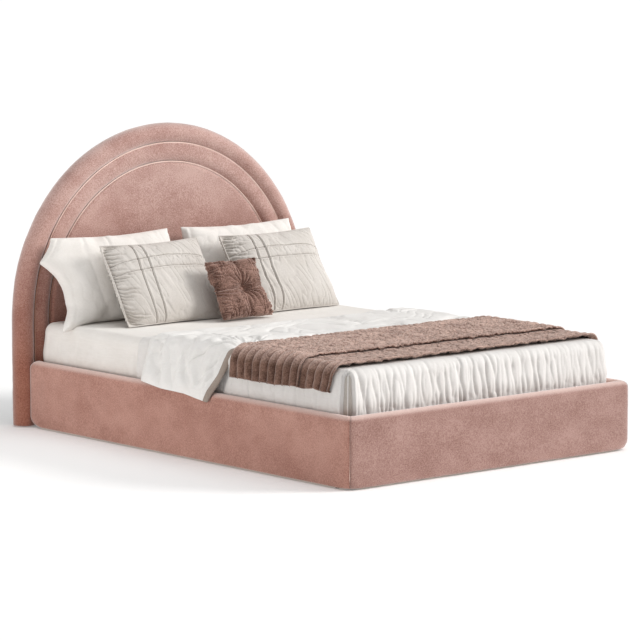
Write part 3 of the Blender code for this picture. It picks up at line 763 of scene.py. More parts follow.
def bed_cloth(name, points, thick, look, slot, node, closed):
    """Turn skin rows into a closed cloth; a closed one's last column joins its first."""
    if closed:
        points = np.concatenate([points, points[:, :1]], axis=1)
    return piece(name, *cloth_mesh(points, thick), look, MATTRESS, slot, (node,), merge=0.0002)


def gathers(along, height, top_z, foot_z, spots):
    """Grooves that run down a side: negative in each groove."""
    total = np.zeros(np.broadcast(along, height).shape)
    share = (top_z - height) / (top_z - foot_z)
    for place, depth, width, slant, start, stop in spots:
        lean = slant * share + 0.004 * np.sin(share * 7 + place * 90)
        reach = smooth_step(start - 0.12, start + 0.18, share)
        reach *= smooth_step(stop + 0.2, stop, share)
        total -= depth * reach * np.exp(-np.abs((along - place - lean) / width) ** 1.4)
    return total


def quiet_spots(draw, start, stop, steps, depths, widths, slants, starts):
    """Shallow gathers at random places along a side, each from a height down to the hem."""
    spots = []
    place = start
    while place < stop:
        spots.append((place, draw.uniform(*depths), draw.uniform(*widths), draw.uniform(*slants),
                      draw.uniform(*starts), 1.1))
        place += draw.uniform(*steps)
    return spots


def build_coverlet():
    half = cover_high[0] + 0.005
    foot_y = cover_low[1] - 0.001
    hem_z = cover_low[2] + 0.012
    top_z = cover_high[2] - 0.0005
    head_y = cover_high[1]
    spacing = 0.0045
    points, line = bed_skin_points(half, foot_y, head_y, hem_z, top_z, False, spacing, 34)
    normal = turned_normals(points, (5, len(line) // 2), 1, -1)
    run = run_along(line)
    inset = 0.0105
    from_corner = np.abs(line[:, 0] + half - inset) + np.abs(line[:, 1] - foot_y - inset)
    corner = run[np.argmin(from_corner)]
    far = run[-1] - corner
    along = run[None, :] * np.ones(points.shape[:2])
    height = points[..., 2]
    draw = np.random.default_rng(5)

    # deep gathers at the foot, calmer near the right corner, and short ones above the hem
    spots = []
    place = corner + 0.055
    while place < far - 0.03:
        deep = draw.choice([0.0045, 0.007, 0.0115], p=[0.35, 0.4, 0.25])
        calm = 0.35 if place > far - 0.30 else 1.0
        spots.append((place, deep * calm, draw.uniform(0.0045, 0.009), draw.uniform(0.0, 0.030),
                      draw.uniform(-0.05, 0.22), draw.uniform(0.75, 1.0)))
        place += draw.uniform(0.022, 0.046)
    foot_side = gathers(along, height, top_z, hem_z, spots)
    base = []
    place = corner + 0.03
    while place < far - 0.02:
        base.append((place, draw.uniform(0.003, 0.006), 0.006, 0.004, 0.60, 1.2))
        place += draw.uniform(0.018, 0.034)
    foot_side += gathers(along, height, top_z, hem_z, base)
    foot_side += 0.0030 * creases(planar(along, height * 0.22), 0.026, 2.0) - 0.001
    foot_side += 0.0018 * creases(planar(along, height * 0.12), 0.012, 5.0)

    quiet = []
    for start, stop in ((0.02, corner - 0.04), (far + 0.04, run[-1] - 0.02)):
        quiet += quiet_spots(draw, start, stop, (0.022, 0.050), (0.001, 0.0032), (0.005, 0.012),
                             (-0.01, 0.012), (0.1, 0.5))
    sides = gathers(along, height, top_z, hem_z, quiet)

    bulge = 0.009 * bell(height - SWELL_Z, 0.055) + 0.002 * noise(points, 0.12, 3.0)
    relief = foot_side + sides + bulge
    relief *= smooth_step(0, 0.02, height - hem_z + 0.01)
    flat = smooth_step(top_z - 0.002, top_z, height)
    edge_gap = np.maximum(points[..., 1] - foot_y - EDGE, 0)
    onto_top = flat * bell(edge_gap, 0.035) * foot_side * 0.35
    relief = relief * (1 - flat) + flat * (0.0012 * noise(points, 0.09) - 0.0008) + onto_top

    # the folded left foot corner: an arched recess with a raised lip
    smooth = points + normal * bulge[..., None]
    arch_top = 0.446
    wide = 0.020
    up = np.maximum(height - (arch_top - wide), 0)
    gap = np.hypot(along - corner, up) - wide
    recess = -0.022 * smooth_step(0.003, -0.003, gap) + 0.0055 * bell(gap - 0.004, 0.006)
    relief += recess * (1 - flat)
    points = points + normal * relief[..., None]
    made = bed_cloth("coverlet_cloth", points, 0.0022, COVERLET_COTTON, "white_cotton", "coverlet",
                     False)

    # a darker strip of cloth inside the arched recess: painted shade of the pleat's opening
    inner = np.argmin(np.abs(run - corner))
    reach = 4
    patch = (slice(0, 40), slice(inner - reach, inner + reach + 1))
    strip = smooth[patch] - 0.009 * normal[patch]
    fold = piece("coverlet_corner_shade_strip", *cloth_mesh(strip, 0.001), PLEAT_SHADE_COTTON, MATTRESS,
                 "white_cotton")
    ridge = smooth[:38, inner] - 0.005 * normal[:38, inner]
    tube("coverlet_corner_fold", ridge, 0.0024, WHITE_COTTON, MATTRESS)


def build_sheet():
    inset = 0.0004
    half = sheet_high[0] - inset
    top_z = sheet_high[2] - 0.0002
    hem_z = sheet_low[2] + 0.002
    points, line = bed_skin_points(half, sheet_low[1] + inset, sheet_high[1] - inset, hem_z, top_z,
                                   True, 0.008, 20)
    normal = turned_normals(points, (5, 10), 0, -1)
    run = run_along(line)
    height = points[..., 2]
    visible = smooth_step(cover_high[1] + 0.01, cover_high[1] + 0.05, points[..., 1])
    spots = quiet_spots(np.random.default_rng(8), 0.0, run[-1], (0.024, 0.048),
                        (0.0015, 0.0045), (0.005, 0.010), (-0.012, 0.012), (0.1, 0.6))
    relief = gathers(run[None, :], height, top_z, hem_z, spots)
    relief += visible * 0.010 * bell(height - SWELL_Z, 0.055)
    relief += visible * 0.0015 * noise(points, 0.10)
    points = points + normal * relief[..., None]
    made = bed_cloth("fitted_sheet_cloth", points, 0.0014, SHEET_COTTON, "warm_linen",
                     "fitted_sheet", True)


def build_mattress():
    """Foam mattress: soft edges, a piped seam round its border and a knitted cover."""
    bm = bmesh.new()
    size = Vector(bed_high) - Vector(bed_low)
    middle = (Vector(bed_high) + Vector(bed_low)) / 2
    place = Matrix.Translation(middle) @ Matrix.Diagonal((*size, 1))
    bmesh.ops.create_cube(bm, size=1.0, matrix=place)
    bmesh.ops.bevel(bm, geom=bm.edges[:], offset=EDGE, segments=8, profile=0.5, affect="EDGES")
    made = piece("mattress_core", *taken_from(bm), TICKING, MATTRESS, "ticking", ("mattress",))
    thread = 0.003
    inset = 0.0042 - thread
    path = []
    for sx, sy, start in ((1, 1, 0), (-1, 1, 90), (-1, -1, 180), (1, -1, 270)):
        end_y = bed_high[1] if sy > 0 else bed_low[1]
        centre = (sx * (bed_high[0] - inset - EDGE), end_y - sy * (inset + EDGE))
        path += [(x, y, bed_low[2] + 0.030) for x, y in arc(centre, EDGE, start, start + 90, 8)]
    tube("mattress_lower_piping", path, thread, TICKING, MATTRESS, closed=True)


# ---- duvet -----------------------------------------------------------------------------------
duvet_low, duvet_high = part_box("duvet")
DUVET_TOP = duvet_high[2]
DUVET_EDGE = 0.672            # where it leaves the flat top, from the bed's middle


def over_side(run, outer_x, top_z, foot_z):
    """Half of the path over the bed's side: (x, z) at a distance from the side's top edge.

    It rounds the mattress's edge, slopes out over the rail and hangs down its face.
    """
    lead = 0.10
    control = [(-lead, 0.0), (0.0, 0.0), (0.020, -0.006), (0.036, -0.022), (0.047, -0.046)]
    path = [(DUVET_EDGE + dx, top_z + dz) for dx, dz in control]
    path += [(0.745, 0.375), (0.768, 0.330), (outer_x - 0.004, 0.300), (outer_x, 0.272),
             (outer_x + 0.001, 0.240), (outer_x + 0.001, foot_z - 0.05)]
    path = resampled(np.array(path), 0.004)
    for _ in range(3):
        path[1:-1] = 0.25 * path[:-2] + 0.5 * path[1:-1] + 0.25 * path[2:]
    steps = run_along(path) - lead
    return np.stack([np.interp(run, steps, path[:, 0]), np.interp(run, steps, path[:, 1])], -1)


def build_duvet():
    top_z = DUVET_TOP - 0.004
    head_y = duvet_high[1]
    foot_y = duvet_low[1] - 0.004
    flap = 0.262
    outer_x = HALF_RAIL + 0.0155
    rows = 150
    columns = 420
    share = np.linspace(0, 1, rows)[:, None]
    across = np.linspace(-1, 1, columns)[None, :]
    spread = across * (DUVET_EDGE + flap)
    side_run = np.abs(spread) - DUVET_EDGE
    left = spread < 0

    def profile(values, knots):
        return np.interp(values, [knot[0] for knot in knots], [knot[1] for knot in knots])

    # the foot edge draws back towards the head as the left flap falls to its point
    foot_left = profile(side_run, [(-0.30, foot_y), (-0.06, foot_y + 0.004), (0.02, foot_y + 0.020),
                                   (0.07, foot_y + 0.028), (0.14, foot_y + 0.034),
                                   (0.195, foot_y + 0.056), (flap, foot_y + 0.090)])
    foot_right = profile(side_run, [(-0.1, foot_y), (0.05, foot_y + 0.01), (flap, foot_y + 0.05)])
    foot_line = np.where(left, foot_left, foot_right)
    head_line = profile(side_run, [(-0.2, head_y), (0.05, head_y - 0.010), (flap, head_y - 0.045)])
    y = head_line + share * (foot_line - head_line)
    hem = profile(y, [(-0.33, 1.0), (-0.256, 1.0), (-0.09, 0.915), (0.065, 0.90), (0.182, 0.845),
                      (0.24, 0.80)])
    hem = np.where(left, hem, 0.80 + 0.03 * np.sin(y * 20))
    run = np.where(side_run > 0, side_run * hem, side_run)
    side = over_side(run, outer_x, top_z, 0.235)
    x = np.where(side_run > -0.09, side[..., 0], np.abs(spread)) * np.sign(spread)
    z = np.where(side_run > -0.09, side[..., 1], top_z)
    points = planar(x, y, z)

    normal = turned_normals(points, (rows // 2, columns // 2), 2, 1)
    flat = planar(spread, y)
    swirl = flat.copy()
    swirl[..., 0] += 0.05 * noise(flat, 0.16, 1.0)
    swirl[..., 1] += 0.05 * noise(flat, 0.16, 9.0)
    # drag folds fan out from where the throw holds the left edge
    pin = np.array([-0.62, foot_y - 0.02])
    gap = np.hypot(flat[..., 0] - pin[0], flat[..., 1] - pin[1])
    turn = np.arctan2(flat[..., 1] - pin[1], flat[..., 0] - pin[0])
    fan = creases(planar(turn * 1.4 + 0.25 * noise(flat, 0.2, 4.0), gap * 0.8), 0.22, 6.0)
    fan_reach = bell(gap - 0.16, 0.20) * smooth_step(0.0, 0.05, gap)

    def drawn_out(turn, squeeze, size, offset):
        """Creases stretched along a direction, in degrees from the bed's width."""
        way = math.radians(turn)
        along = swirl[..., 0] * math.cos(way) + swirl[..., 1] * math.sin(way)
        aside = swirl[..., 1] * math.cos(way) - swirl[..., 0] * math.sin(way)
        return creases(planar(along * squeeze, aside), size, offset)

    broad = drawn_out(14, 0.34, 0.130, 3.0)
    middle = drawn_out(-28, 0.40, 0.085, 11.0)
    fine = drawn_out(24, 0.45, 0.050, 7.0)
    relief = 0.0115 * broad + 0.0080 * middle + 0.0040 * fine - 0.0125
    relief += 0.0130 * fan * fan_reach
    flap_side = smooth_step(0.0, 0.07, side_run) * left
    wave = np.sin((y + 0.03 * noise(flat, 0.1, 2.0) + 0.35 * run) * 62)
    relief += flap_side * 0.0085 * wave * smooth_step(-0.30, -0.12, y)
    length = head_y - foot_y
    border = np.minimum(share, 1 - share) * length
    border = np.minimum(border, (1 - np.abs(across)) * (DUVET_EDGE + flap))
    relief *= smooth_step(-0.01, 0.05, border)
    thick = 0.0035 + 0.0095 * smooth_step(0.0, 0.045, border) * smooth_step(0.12, 0.0, side_run)
    lowered = (0.0135 - thick) * smooth_step(0.04, -0.02, side_run)
    points = points + normal * (relief - lowered)[..., None]
    downward = grid_normals(points)[rows // 2, columns // 2, 2] < 0
    made = piece("duvet_cloth", *cloth_mesh(points, thick, flip=downward), WHITE_COTTON, MATTRESS,
                 "white_cotton", ("duvet",))
    binding(points, normal)


def binding(points, normal):
    """The duvet's reverse turned over along its foot edge, from the left flap to the top."""
    stop = int(points.shape[1] * 0.215)
    edge = points[-1, :stop]
    outward = edge - points[-6, :stop]
    outward /= np.linalg.norm(outward, axis=1, keepdims=True)
    strip = []
    for reach, lift in ((-0.004, 0.0016), (0.006, 0.0010), (0.014, -0.0008), (0.021, -0.0040)):
        strip.append(edge + outward * reach + normal[-1, :stop] * lift)
    made = piece("duvet_binding", *cloth_mesh(np.array(strip), 0.0016), BINDING_COTTON, MATTRESS,
                 "greige_sham")


# ---- throw -----------------------------------------------------------------------------------
throw_low, throw_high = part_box("throw")


def throw_side(run, edge_x, top_z):
    """(x, z, turn away from level) at a distance beyond the bed's top edge."""
    radius = 0.040
    turn = np.clip(run / radius, 0, math.pi / 2)
    down = np.clip(run - radius * math.pi / 2, 0, None)
    x = np.where(run > 0, edge_x + radius * np.sin(turn) + 0.06 * down, edge_x + run)
    z = np.where(run > 0, top_z - radius * (1 - np.cos(turn)) - down, top_z)
    return x, z, turn


def build_throw():
    """A channel-quilted throw, folded along its head edge so that it lies double."""
    pitch = 0.0475
    head_y = throw_high[1] - 0.002
    foot_y = throw_low[1] + 0.002
    fold_y = foot_y + 0.190
    rest_z = cover_high[2] + 0.0005
    drop = 0.128
    edge_x = 0.660
    columns = 430
    bend_y = head_y - 0.004
    lower = np.linspace(foot_y, bend_y, 110)
    bend = np.radians(np.linspace(-90, 90, 9)[1:-1])
    upper = np.linspace(bend_y, fold_y, 230)
    low_z = rest_z + 0.0085
    high_z = throw_high[2] - 0.0035
    y = np.concatenate([lower, bend_y + 0.006 * np.cos(bend), upper])
    lift = np.concatenate([np.full(len(lower), low_z),
                           (low_z + high_z) / 2 + (high_z - low_z) / 2 * np.sin(bend),
                           np.full(len(upper), high_z)])
    across = np.linspace(-1, 1, columns)
    spread = across * (edge_x + drop)
    run = np.abs(spread) - edge_x
    rise = lift[:, None] - rest_z
    x, z, tilt = throw_side(run[None, :] + 0 * rise, edge_x, rest_z)
    y_all = y[:, None] + 0 * x
    base = planar(x * np.sign(spread)[None, :], y_all, z)
    out = planar(np.sin(tilt) * np.sign(spread)[None, :], 0 * tilt, np.cos(tilt))
    points = base + out * rise[..., None]

    # channels run across the bed: full ribs on the sides, pebbled velvet on the top
    is_upper = (np.arange(len(y)) >= len(lower) + len(bend))[:, None]
    shows = is_upper | (y_all < fold_y + 0.03)
    phase = (y_all - head_y) / pitch
    part = phase - np.floor(phase)
    rib = np.clip(1 - (2 * part - 1) ** 2 * 0.985, 0, 1) ** 0.68
    side = smooth_step(0.0, 0.03, run)[None, :] + 0 * rise
    flat = planar(spread[None, :] + 0 * y_all, y_all)
    pebbles = creases(flat * np.array([1.0, 1.25, 1.0]), 0.0125, 3.0)
    ruche = creases(flat * np.array([1.0, 0.55, 1.0]), 0.021, 8.0)
    top_relief = 0.0060 * rib + 0.0085 * pebbles + 0.0060 * ruche - 0.0080
    puffs = 0.0020 * creases(flat * np.array([0.5, 1.0, 1.0]), 0.02, 1.0)
    side_relief = np.where(is_upper, 0.0235 * rib - 0.011, 0.0200 * rib - 0.002) + puffs
    relief = np.where(shows, side * side_relief + (1 - side) * top_relief, 0.001)
    end = (1 - np.abs(across))[None, :] * (edge_x + drop) + 0 * rise
    relief *= smooth_step(-0.002, 0.007, end)
    relief += shows * 0.002 * noise(flat, 0.12, 2.0)
    points = points + out * relief[..., None]
    hung = np.clip(run / drop, 0, 1)[None, :] + 0 * rise
    near_foot = (head_y - y_all) / (head_y - foot_y)
    points[..., 1] += 0.026 * hung ** 1.5 * near_foot ** 3
    points[..., 2] += hung ** 2 * (0.006 + 0.014 * near_foot + 0.004 * noise(flat, 0.06, 5.0))
    downward = grid_normals(points)[-40, columns // 2, 2] < 0
    made = piece("throw_quilt", *cloth_mesh(points, 0.0055, flip=downward), TAUPE_QUILT, MATTRESS,
                 "taupe_quilt", ("throw",))


# ---- pillows and cushions --------------------------------------------------------------------
SHEET_TOP = sheet_high[2]
SHEET_SIDE = 0.655            # half the width of the sheet's flat top


def bag_faces(rows, columns):
    """Faces of a bag whose back grid follows its front grid and shares its border."""
    index = np.arange(rows * columns).reshape(rows, columns)
    rear = index + rows * columns
    for cut in (np.s_[0], np.s_[-1], np.s_[:, 0], np.s_[:, -1]):
        rear[cut] = index[cut]
    quads = [rear[:-1, :-1], rear[1:, :-1], rear[1:, 1:], rear[:-1, 1:]]
    return grid_quads(rows, columns) + np.stack(quads, -1).reshape(-1, 4).tolist()


def without_loose(verts, faces):
    """Drop the vertices that no face uses; also gives the indices of those that stay."""
    used = sorted({index for face in faces for index in face})
    place = {old: new for new, old in enumerate(used)}
    return verts[used], [[place[index] for index in face] for face in faces], used


def inflated_bag(width, height, thick, columns, rows, pressure, frames, seed):
    """Simulate a sewn bag of cloth blown up from flat; gives front and back grids of points."""
    u, v = np.meshgrid(np.linspace(-1, 1, columns), np.linspace(-1, 1, rows))
    rim = np.maximum(np.abs(u), np.abs(v))
    crown = np.clip((1 - u ** 4) * (1 - v ** 4), 0, 1) ** 0.5
    start, loose = ((0.35, 1.07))
    depth = start * 0.5 * thick * crown
    jitter = 0.0015 * noise(planar(u * width, v * height), 0.03, seed)
    x = u * width / 2 * loose * (1 - 0.03 * (1 - v ** 2) * np.abs(u))
    y = v * height / 2 * loose * (1 - 0.04 * (1 - u ** 2) * np.abs(v))
    front = planar(x, y, depth + jitter * (rim < 0.99))
    back = planar(x, y, -depth + jitter * (rim < 0.99))
    count = rows * columns
    seam = rim >= 0.9999
    verts = np.concatenate([front.reshape(-1, 3), back.reshape(-1, 3)])
    verts = simulate(verts, bag_faces(rows, columns), pressure, frames)
    front = verts[:count].reshape(rows, columns, 3)
    back = verts[count:].reshape(rows, columns, 3).copy()
    back[seam] = front[seam]
    middle = (front.min((0, 1)) + front.max((0, 1))) / 2
    both = np.concatenate([front.reshape(-1, 3), back.reshape(-1, 3)])
    size = both.max(0) - both.min(0)
    scale = np.array([width, height, thick]) / size
    front = (front - middle * np.array([1, 1, 0])) * scale
    back = (back - middle * np.array([1, 1, 0])) * scale
    return u, v, front, back


def calmed(front, back, rounds):
    """Smooth a bag's small lumps away and keep its large shape."""
    for _ in range(rounds):
        for grid in (front, back):
            across = grid[1:-1, :-2] + grid[1:-1, 2:]
            along = grid[:-2, 1:-1] + grid[2:, 1:-1]
            grid[1:-1, 1:-1] = 0.5 * grid[1:-1, 1:-1] + 0.125 * (across + along)
            for rim in (grid[0], grid[-1], grid[:, 0], grid[:, -1]):
                rim[1:-1] = 0.5 * rim[1:-1] + 0.25 * (rim[:-2] + rim[2:])
    return front, back


def trued(front, back, u, v, pinch):
    """Bring a bag's seam to its outline: pinch says how far left, right, foot and top draw in."""
    left, right, foot, top = pinch
    half_x = np.abs(front[..., 0]).max()
    half_y = np.abs(front[..., 1]).max()
    hollow_v = (1 - v[:, :1] ** 2) ** 1.3
    hollow_u = (1 - u[:1] ** 2) ** 1.3
    low_x, high_x = front[:, :1, 0].copy(), front[:, -1:, 0].copy()
    low_y, high_y = front[:1, :, 1].copy(), front[-1:, :, 1].copy()
    for grid in (front, back):
        share = (grid[..., 0] - low_x) / (high_x - low_x)
        start = -half_x * (1 - left * hollow_v)
        grid[..., 0] = start + share * (half_x * (1 - right * hollow_v) - start)
        share = (grid[..., 1] - low_y) / (high_y - low_y)
        start = -half_y * (1 - foot * hollow_u)
        grid[..., 1] = start + share * (half_y * (1 - top * hollow_u) - start)
    return front, back


def simulate(verts, faces, pressure, frames):
    """Blow up a closed cloth with Blender's cloth solver and return its points."""
    kept, faces, used = without_loose(verts, faces)
    mesh = bpy.data.meshes.new("bag")
    mesh.from_pydata(kept.tolist(), [], faces)
    bag = added("bag", mesh)
    scene = bpy.context.scene
    cloth = bag.modifiers.new("cloth", "CLOTH")
    cloth.settings.quality = 5
    cloth.settings.mass = 0.25
    cloth.settings.tension_stiffness = 22
    cloth.settings.compression_stiffness = 22
    cloth.settings.shear_stiffness = 6
    cloth.settings.bending_stiffness = 0.25
    cloth.settings.air_damping = 6
    cloth.settings.use_pressure = True
    cloth.settings.uniform_pressure_force = pressure
    cloth.settings.effector_weights.gravity = 0
    cloth.collision_settings.use_collision = False
    cloth.point_cache.frame_start = 1
    cloth.point_cache.frame_end = frames
    for step in range(1, frames + 1):
        scene.frame_set(step)
    shown = bag.evaluated_get(bpy.context.evaluated_depsgraph_get())
    moved = np.empty(len(used) * 3)
    shown.data.vertices.foreach_get("co", moved)
    result = verts.copy()
    result[used] = moved.reshape(-1, 3)
    bpy.data.objects.remove(bag, do_unlink=True)
    bpy.data.meshes.remove(mesh)
    scene.frame_set(1)
    return result


def refined(grid, times):
    """Smoothly interpolate a grid of points to a finer one."""
    rows, columns = grid.shape[:2]
    fine_rows = np.linspace(0, rows - 1, (rows - 1) * times + 1)
    fine_columns = np.linspace(0, columns - 1, (columns - 1) * times + 1)

    def along_first(values, at):
        low = np.clip(np.floor(at).astype(int), 0, len(values) - 2)
        part = (at - low).reshape(-1, *([1] * (values.ndim - 1)))
        before = values[np.clip(low - 1, 0, None)]
        here = values[low]
        there = values[low + 1]
        after = values[np.clip(low + 2, None, len(values) - 1)]
        return (here + 0.5 * part * (there - before + part * (2 * before - 5 * here + 4 * there
                - after + part * (3 * (here - there) + after - before))))

    half = along_first(grid, fine_rows)
    return along_first(half.swapaxes(0, 1), fine_columns).swapaxes(0, 1)


def stand(foot, lean, yaw, height):
    """Where a cushion that was made lying flat stands: on its lower edge, leaning back."""
    tip = Matrix.Rotation(math.radians(90 - lean), 4, "X")
    turn = Matrix.Rotation(math.radians(yaw), 4, "Z")
    return Matrix.Translation(Vector(foot)) @ turn @ tip @ Matrix.Translation((0, height / 2, 0))


def place_points(points, where):
    matrix = np.array(where)
    return points @ matrix[:3, :3].T + matrix[:3, 3]


def bag_piece(node, front, back, where, look, body, slot):
    """Join front and back grids along their common seam; the bag lies flat on the sheet."""
    verts = np.concatenate([front.reshape(-1, 3), back.reshape(-1, 3)])
    verts, faces, _ = without_loose(verts, bag_faces(*front.shape[:2]))
    verts = place_points(verts, where)
    # beyond the sheet's side a loose corner may hang lower; the contact is rounded off
    beyond = np.clip(np.abs(verts[:, 0]) - SHEET_SIDE, 0, None)
    floor = SHEET_TOP + 0.003 - 9 * beyond ** 2
    soft = 0.002
    below = np.clip(floor - verts[:, 2], 0, None)
    verts[:, 2] = np.maximum(verts[:, 2], floor - soft * np.tanh(below / soft))
    piece(node + "_bag", verts, faces, look, body, slot, (node,))


def sewn_bag(size, grid, pressure, frames, seed, rounds, pinch, times):
    """A blown up, calmed, trued and refined bag.

    Gives its shares u and v from -1 to 1, its flat places x and y, the gap to its nearest edge
    and the points of its front and back.
    """
    u, v, front, back = inflated_bag(*size, *grid, pressure, frames, seed)
    front, back = trued(*calmed(front, back, rounds), u, v, pinch)
    u, v, front, back = [refined(item, times) for item in (u, v, front, back)]
    x, y = u * size[0] / 2, v * size[1] / 2
    edge = np.minimum(size[0] / 2 - np.abs(x), size[1] / 2 - np.abs(y))
    return u, v, x, y, edge, front, back


def seam_gathers(u, v, width, height, seed, strength, reach, pitch=0.016):
    """Small folds that run in from a bag's four edges."""
    x = u * width / 2
    y = v * height / 2
    gap_x = width / 2 - np.abs(x)
    gap_y = height / 2 - np.abs(y)
    from_sides = creases(planar(y, gap_x * 0.22), pitch, seed) * np.exp(-gap_x / reach)
    from_ends = creases(planar(x, gap_y * 0.22), pitch, seed + 3) * np.exp(-gap_y / reach)
    edge = np.minimum(gap_x, gap_y)
    return strength * (from_sides + from_ends - 0.5) * smooth_step(0, 0.006, edge)


def build_sleeping_pillow(side, seed):
    node = side + "_pillow"
    low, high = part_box(node)
    width, height = 0.622, 0.386
    u, v, x, y, edge, front, back = sewn_bag((width, height, 0.160), (65, 43), 3.2, 26, seed, 8,
                                             (0.03, 0.05, 0.0, 0.07), 2)
    flat = planar(x, y)
    soft = 0.006 * creases(flat * np.array([1.0, 0.7, 1.0]), 0.11, seed) - 0.003
    soft += 0.0016 * creases(flat, 0.035, seed + 2)
    soft += seam_gathers(u, v, width, height, seed, 0.003, 0.05)
    soft *= smooth_step(0, 0.02, edge)
    front = front + planar(0, 0, soft)
    back = back - planar(0, 0, soft)
    middle_x = (low[0] + high[0]) / 2
    where = stand((middle_x, 0.812, SHEET_TOP + 0.006), 20, 0, height)
    # the loose end of the left pillow's case: an ear high up and a flap at the lower corner
    if side == "left":
        ear = np.exp(-(np.abs(v - 0.50) / 0.30) ** 1.3) * smooth_step(-0.4, -1.0, u)
        flap = smooth_step(-0.55, -1.0, v) * smooth_step(-0.6, -1.0, u)
        for grid in (front, back):
            grid[..., 0] -= 0.066 * ear + 0.072 * flap
            grid[..., 2] -= 0.040 * ear - 0.020 * flap
            grid[..., 1] -= 0.034 * flap
    bag_piece(node, front, back, where, SHEET_COTTON, side + "_pillows", "warm_linen")


def build_sham(side, seed, foot, yaw):
    """A cushion with two upright and two level pleats over a crinkled face; a dark cord along each
    pleat paints its shadow line.
    """
    node = side + "_cushion"
    body = side + "_pillows"
    width, height = 0.535, 0.384
    u, v, x, y, edge, front, back = sewn_bag((width, height, 0.125), (65, 47), 4.0, 24, seed, 16,
                                             (0.02, 0.03, 0.02, 0.05), 4)
    across = (u + 1) / 2
    down = (1 - v) / 2
    relief = seam_gathers(u, v, width, height, seed, 0.0050, 0.030)
    slanted = planar(x * 1.0 + y * 0.45, y * 0.22 - x * 0.1)
    relief += 0.0034 * creases(slanted, 0.019, seed) - 0.0017
    # gathers pull in from the left seam
    reach = 0.21 + 0.07 * noise(planar(y, 0), 0.024, seed + 2)
    pulled = smooth_step(reach, reach - 0.15, across)
    phase = (y + 0.30 * x) / 0.0165 + 0.45 * noise(planar(x, y), 0.035, seed + 5)
    pulled *= smooth_step(-0.004, 0.022, width / 2 + x)
    relief += pulled * (0.0170 * lobes(phase) - 0.0150)
    relief -= 0.021 * smooth_step(0.28, 0.0, across)
    pleats = ((across, 0.285, width), (across, 0.372, width), (down, 0.290, height),
              (down, 0.400, height))
    for line, place, size in pleats:
        gap = (line - place) * size
        relief += 0.0032 * bell(gap - 0.004, 0.0030) - 0.0036 * bell(gap + 0.0022, 0.0024)
    band = bell((down - 0.345) * height, 0.016) * smooth_step(0.372, 0.44, across)
    relief += band * 0.0030 * creases(planar(x, y * 0.3), 0.013, seed + 1)
    relief *= smooth_step(0, 0.008, edge)
    front = front + planar(0, 0, relief)
    rear = 0.002 * creases(slanted, 0.03, seed + 8) * smooth_step(0, 0.01, edge)
    back = back - planar(0, 0, rear)
    where = stand(foot, 31, yaw, height)
    bag_piece(node, front, back, where, SHAM_COTTON, body, "greige_sham")
    # a dark cord along each pleat: the painted shadow line of its groove
    for number, (line, place, size) in enumerate(pleats, 1):
        cord_at = place - 0.0022 / size
        if line is across:
            path = front[2:-2, int(np.argmin(np.abs(across[0] - cord_at)))]
            radius = 0.0013
        else:
            path = front[int(np.argmin(np.abs(down[:, 0] - cord_at))), 2:-2]
            radius = 0.0007
        tube(f"{node}_pleat_{number}", place_points(path + 0.0004, where), radius, PLEAT_SHADOW_COTTON,
             body)
    rim = place_points(around(front)[::3], where)
    tube(node + "_piping", rim, 0.0028, SHAM_COTTON, body, closed=True)


def build_tufted():
    """A small velvet cushion drawn in at its middle by a button, in four lobes."""
    width, height = 0.280, 0.272
    u, v, x, y, edge, front, back = sewn_bag((width, height, 0.105), (49, 45), 5.0, 20, 4.0, 8,
                                             (0.04, 0.05, 0.03, 0.05), 4)
    centre_x, centre_y = 0.012, 0.0
    gap = np.hypot(x - centre_x, y - centre_y)
    wander_x = 0.004 * noise(planar(y, 0), 0.05, 2.0)
    wander_y = 0.004 * noise(planar(x, 0), 0.05, 6.0)
    cross = bell(x - centre_x - wander_x, 0.0055) + bell(y - centre_y - wander_y, 0.0045)
    valley = bell(x - centre_x, 0.030) + bell(y - centre_y, 0.026)
    turn = np.arctan2(y - centre_y, x - centre_x)
    waver = 0.5 * noise(planar(x, y), 0.030, 3.0)
    star = lobes(turn / math.tau * 18 + waver) - 1
    relief = -0.0065 * np.minimum(cross, 1.2) - 0.011 * valley - 0.020 * bell(gap, 0.020)
    relief += 0.0130 * star * bell(gap, 0.066) * smooth_step(0.004, 0.02, gap)
    from_left = lobes((y + 0.15 * x) / 0.0155 + waver) - 1
    relief += 0.0180 * from_left * np.exp(-(x + width / 2) / 0.044)
    relief += seam_gathers(u, v, width, height, 5.0, 0.016, 0.046, 0.014)
    relief *= smooth_step(0, 0.010, edge)
    front = front + planar(0, 0, relief)
    back = back - planar(0, 0, 0.6 * relief)
    where = stand((0.016, 0.470, SHEET_TOP + 0.012), 28, 2, height)
    bag_piece("tufted_cushion", front, back, where, BROWN_VELVET, "tufted_cushion",
              "brown_velvet")
    spot = np.unravel_index(np.argmin(gap), gap.shape)
    bm = bmesh.new()
    bmesh.ops.create_uvsphere(bm, u_segments=24, v_segments=12, radius=0.0105)
    for vert in bm.verts:
        vert.co.z *= 0.45
    seat = Matrix.Translation(front[spot] + np.array([0, 0, 0.003]))
    bmesh.ops.transform(bm, matrix=where @ seat, verts=bm.verts)
    piece("tufted_cushion_button", *taken_from(bm), BROWN_VELVET, "tufted_cushion",
          "brown_velvet")


def build_pillows():
    build_sleeping_pillow("left", 1.0)
    build_sleeping_pillow("right", 7.0)
    build_sham("left", 2.0, (-0.278, 0.590, SHEET_TOP + 0.006), 1)
    build_sham("right", 9.0, (0.380, 0.593, SHEET_TOP + 0.006), 2)
    build_tufted()


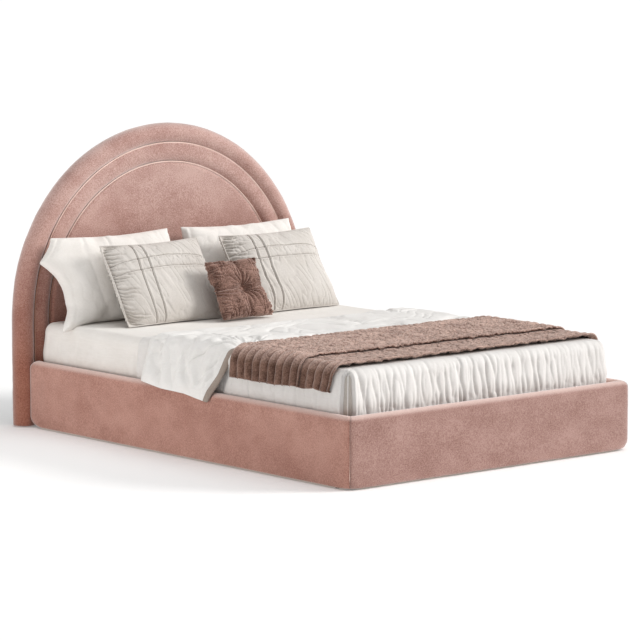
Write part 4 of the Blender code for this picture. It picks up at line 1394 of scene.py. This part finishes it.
# ---- stage, lights and camera ----------------------------------------------------------------
def build_stage():
    bpy.ops.mesh.primitive_plane_add(size=180, location=(0, 0, 0))
    floor = bpy.context.object
    floor.name = "studio_floor"
    look = Look("studio_floor_paint", (0.90, 0.90, 0.90), 0.9, Specular_IOR_Level=0.1,
                Emission_Color=(1, 1, 1), Emission_Strength=0.145)
    floor.data.materials.append(look.material)


def aimed(name, data, place, way):
    """A lamp or camera at a place that looks along a way."""
    made = added(name, data)
    made.location = place
    made.rotation_euler = way.to_track_quat("-Z", "Y").to_euler()
    return made


def far_light(name, toward, power, spread, colour=(1, 1, 1)):
    """A distant lamp that shines from a direction, soft by its spread in degrees."""
    data = bpy.data.lights.new(name, "SUN")
    data.energy = power
    data.angle = math.radians(spread)
    data.color = colour
    toward = Vector(toward)
    aimed(name, data, 6 * toward.normalized(), -toward)


def near_light(name, place, aim, size, power, colour):
    data = bpy.data.lights.new(name, "AREA")
    data.shape = "DISK"
    data.size = size
    data.energy = power
    data.color = colour
    aimed(name, data, place, Vector(aim) - Vector(place))


def build_lights():
    bpy.context.scene.view_settings.view_transform = "Standard"
    world = bpy.data.worlds.new("studio")
    bpy.context.scene.world = world
    world.use_nodes = True
    backdrop = world.node_tree.nodes["Background"]
    backdrop.inputs["Color"].default_value = (1.0, 1.0, 1.0, 1)
    backdrop.inputs["Strength"].default_value = 0.33
    far_light("key", (0.80, -0.60, 0.44), 2.45, 22, (1.0, 0.985, 0.965))
    far_light("overhead", (0.15, -0.16, 1.0), 1.16, 60)
    near_light("left_fill", (-3.2, 0.45, 0.50), (-0.77, 0.2, 0.4), 0.95, 21, (1.0, 0.97, 0.94))


def build_camera():
    data = bpy.data.cameras.new("photo_view")
    data.sensor_width = 36
    data.lens = 200.34
    data.clip_end = 200
    bpy.context.scene.camera = aimed("photo_view", data, (-9.688, -11.347, 2.412),
                                     Vector((0.64487, 0.75365, -0.12710)))


build_camera()
build_lights()
build_stage()
dress_frame()
build_headboard()
build_rails()
build_mattress()
build_sheet()
build_coverlet()
build_duvet()
build_throw()
build_pillows()
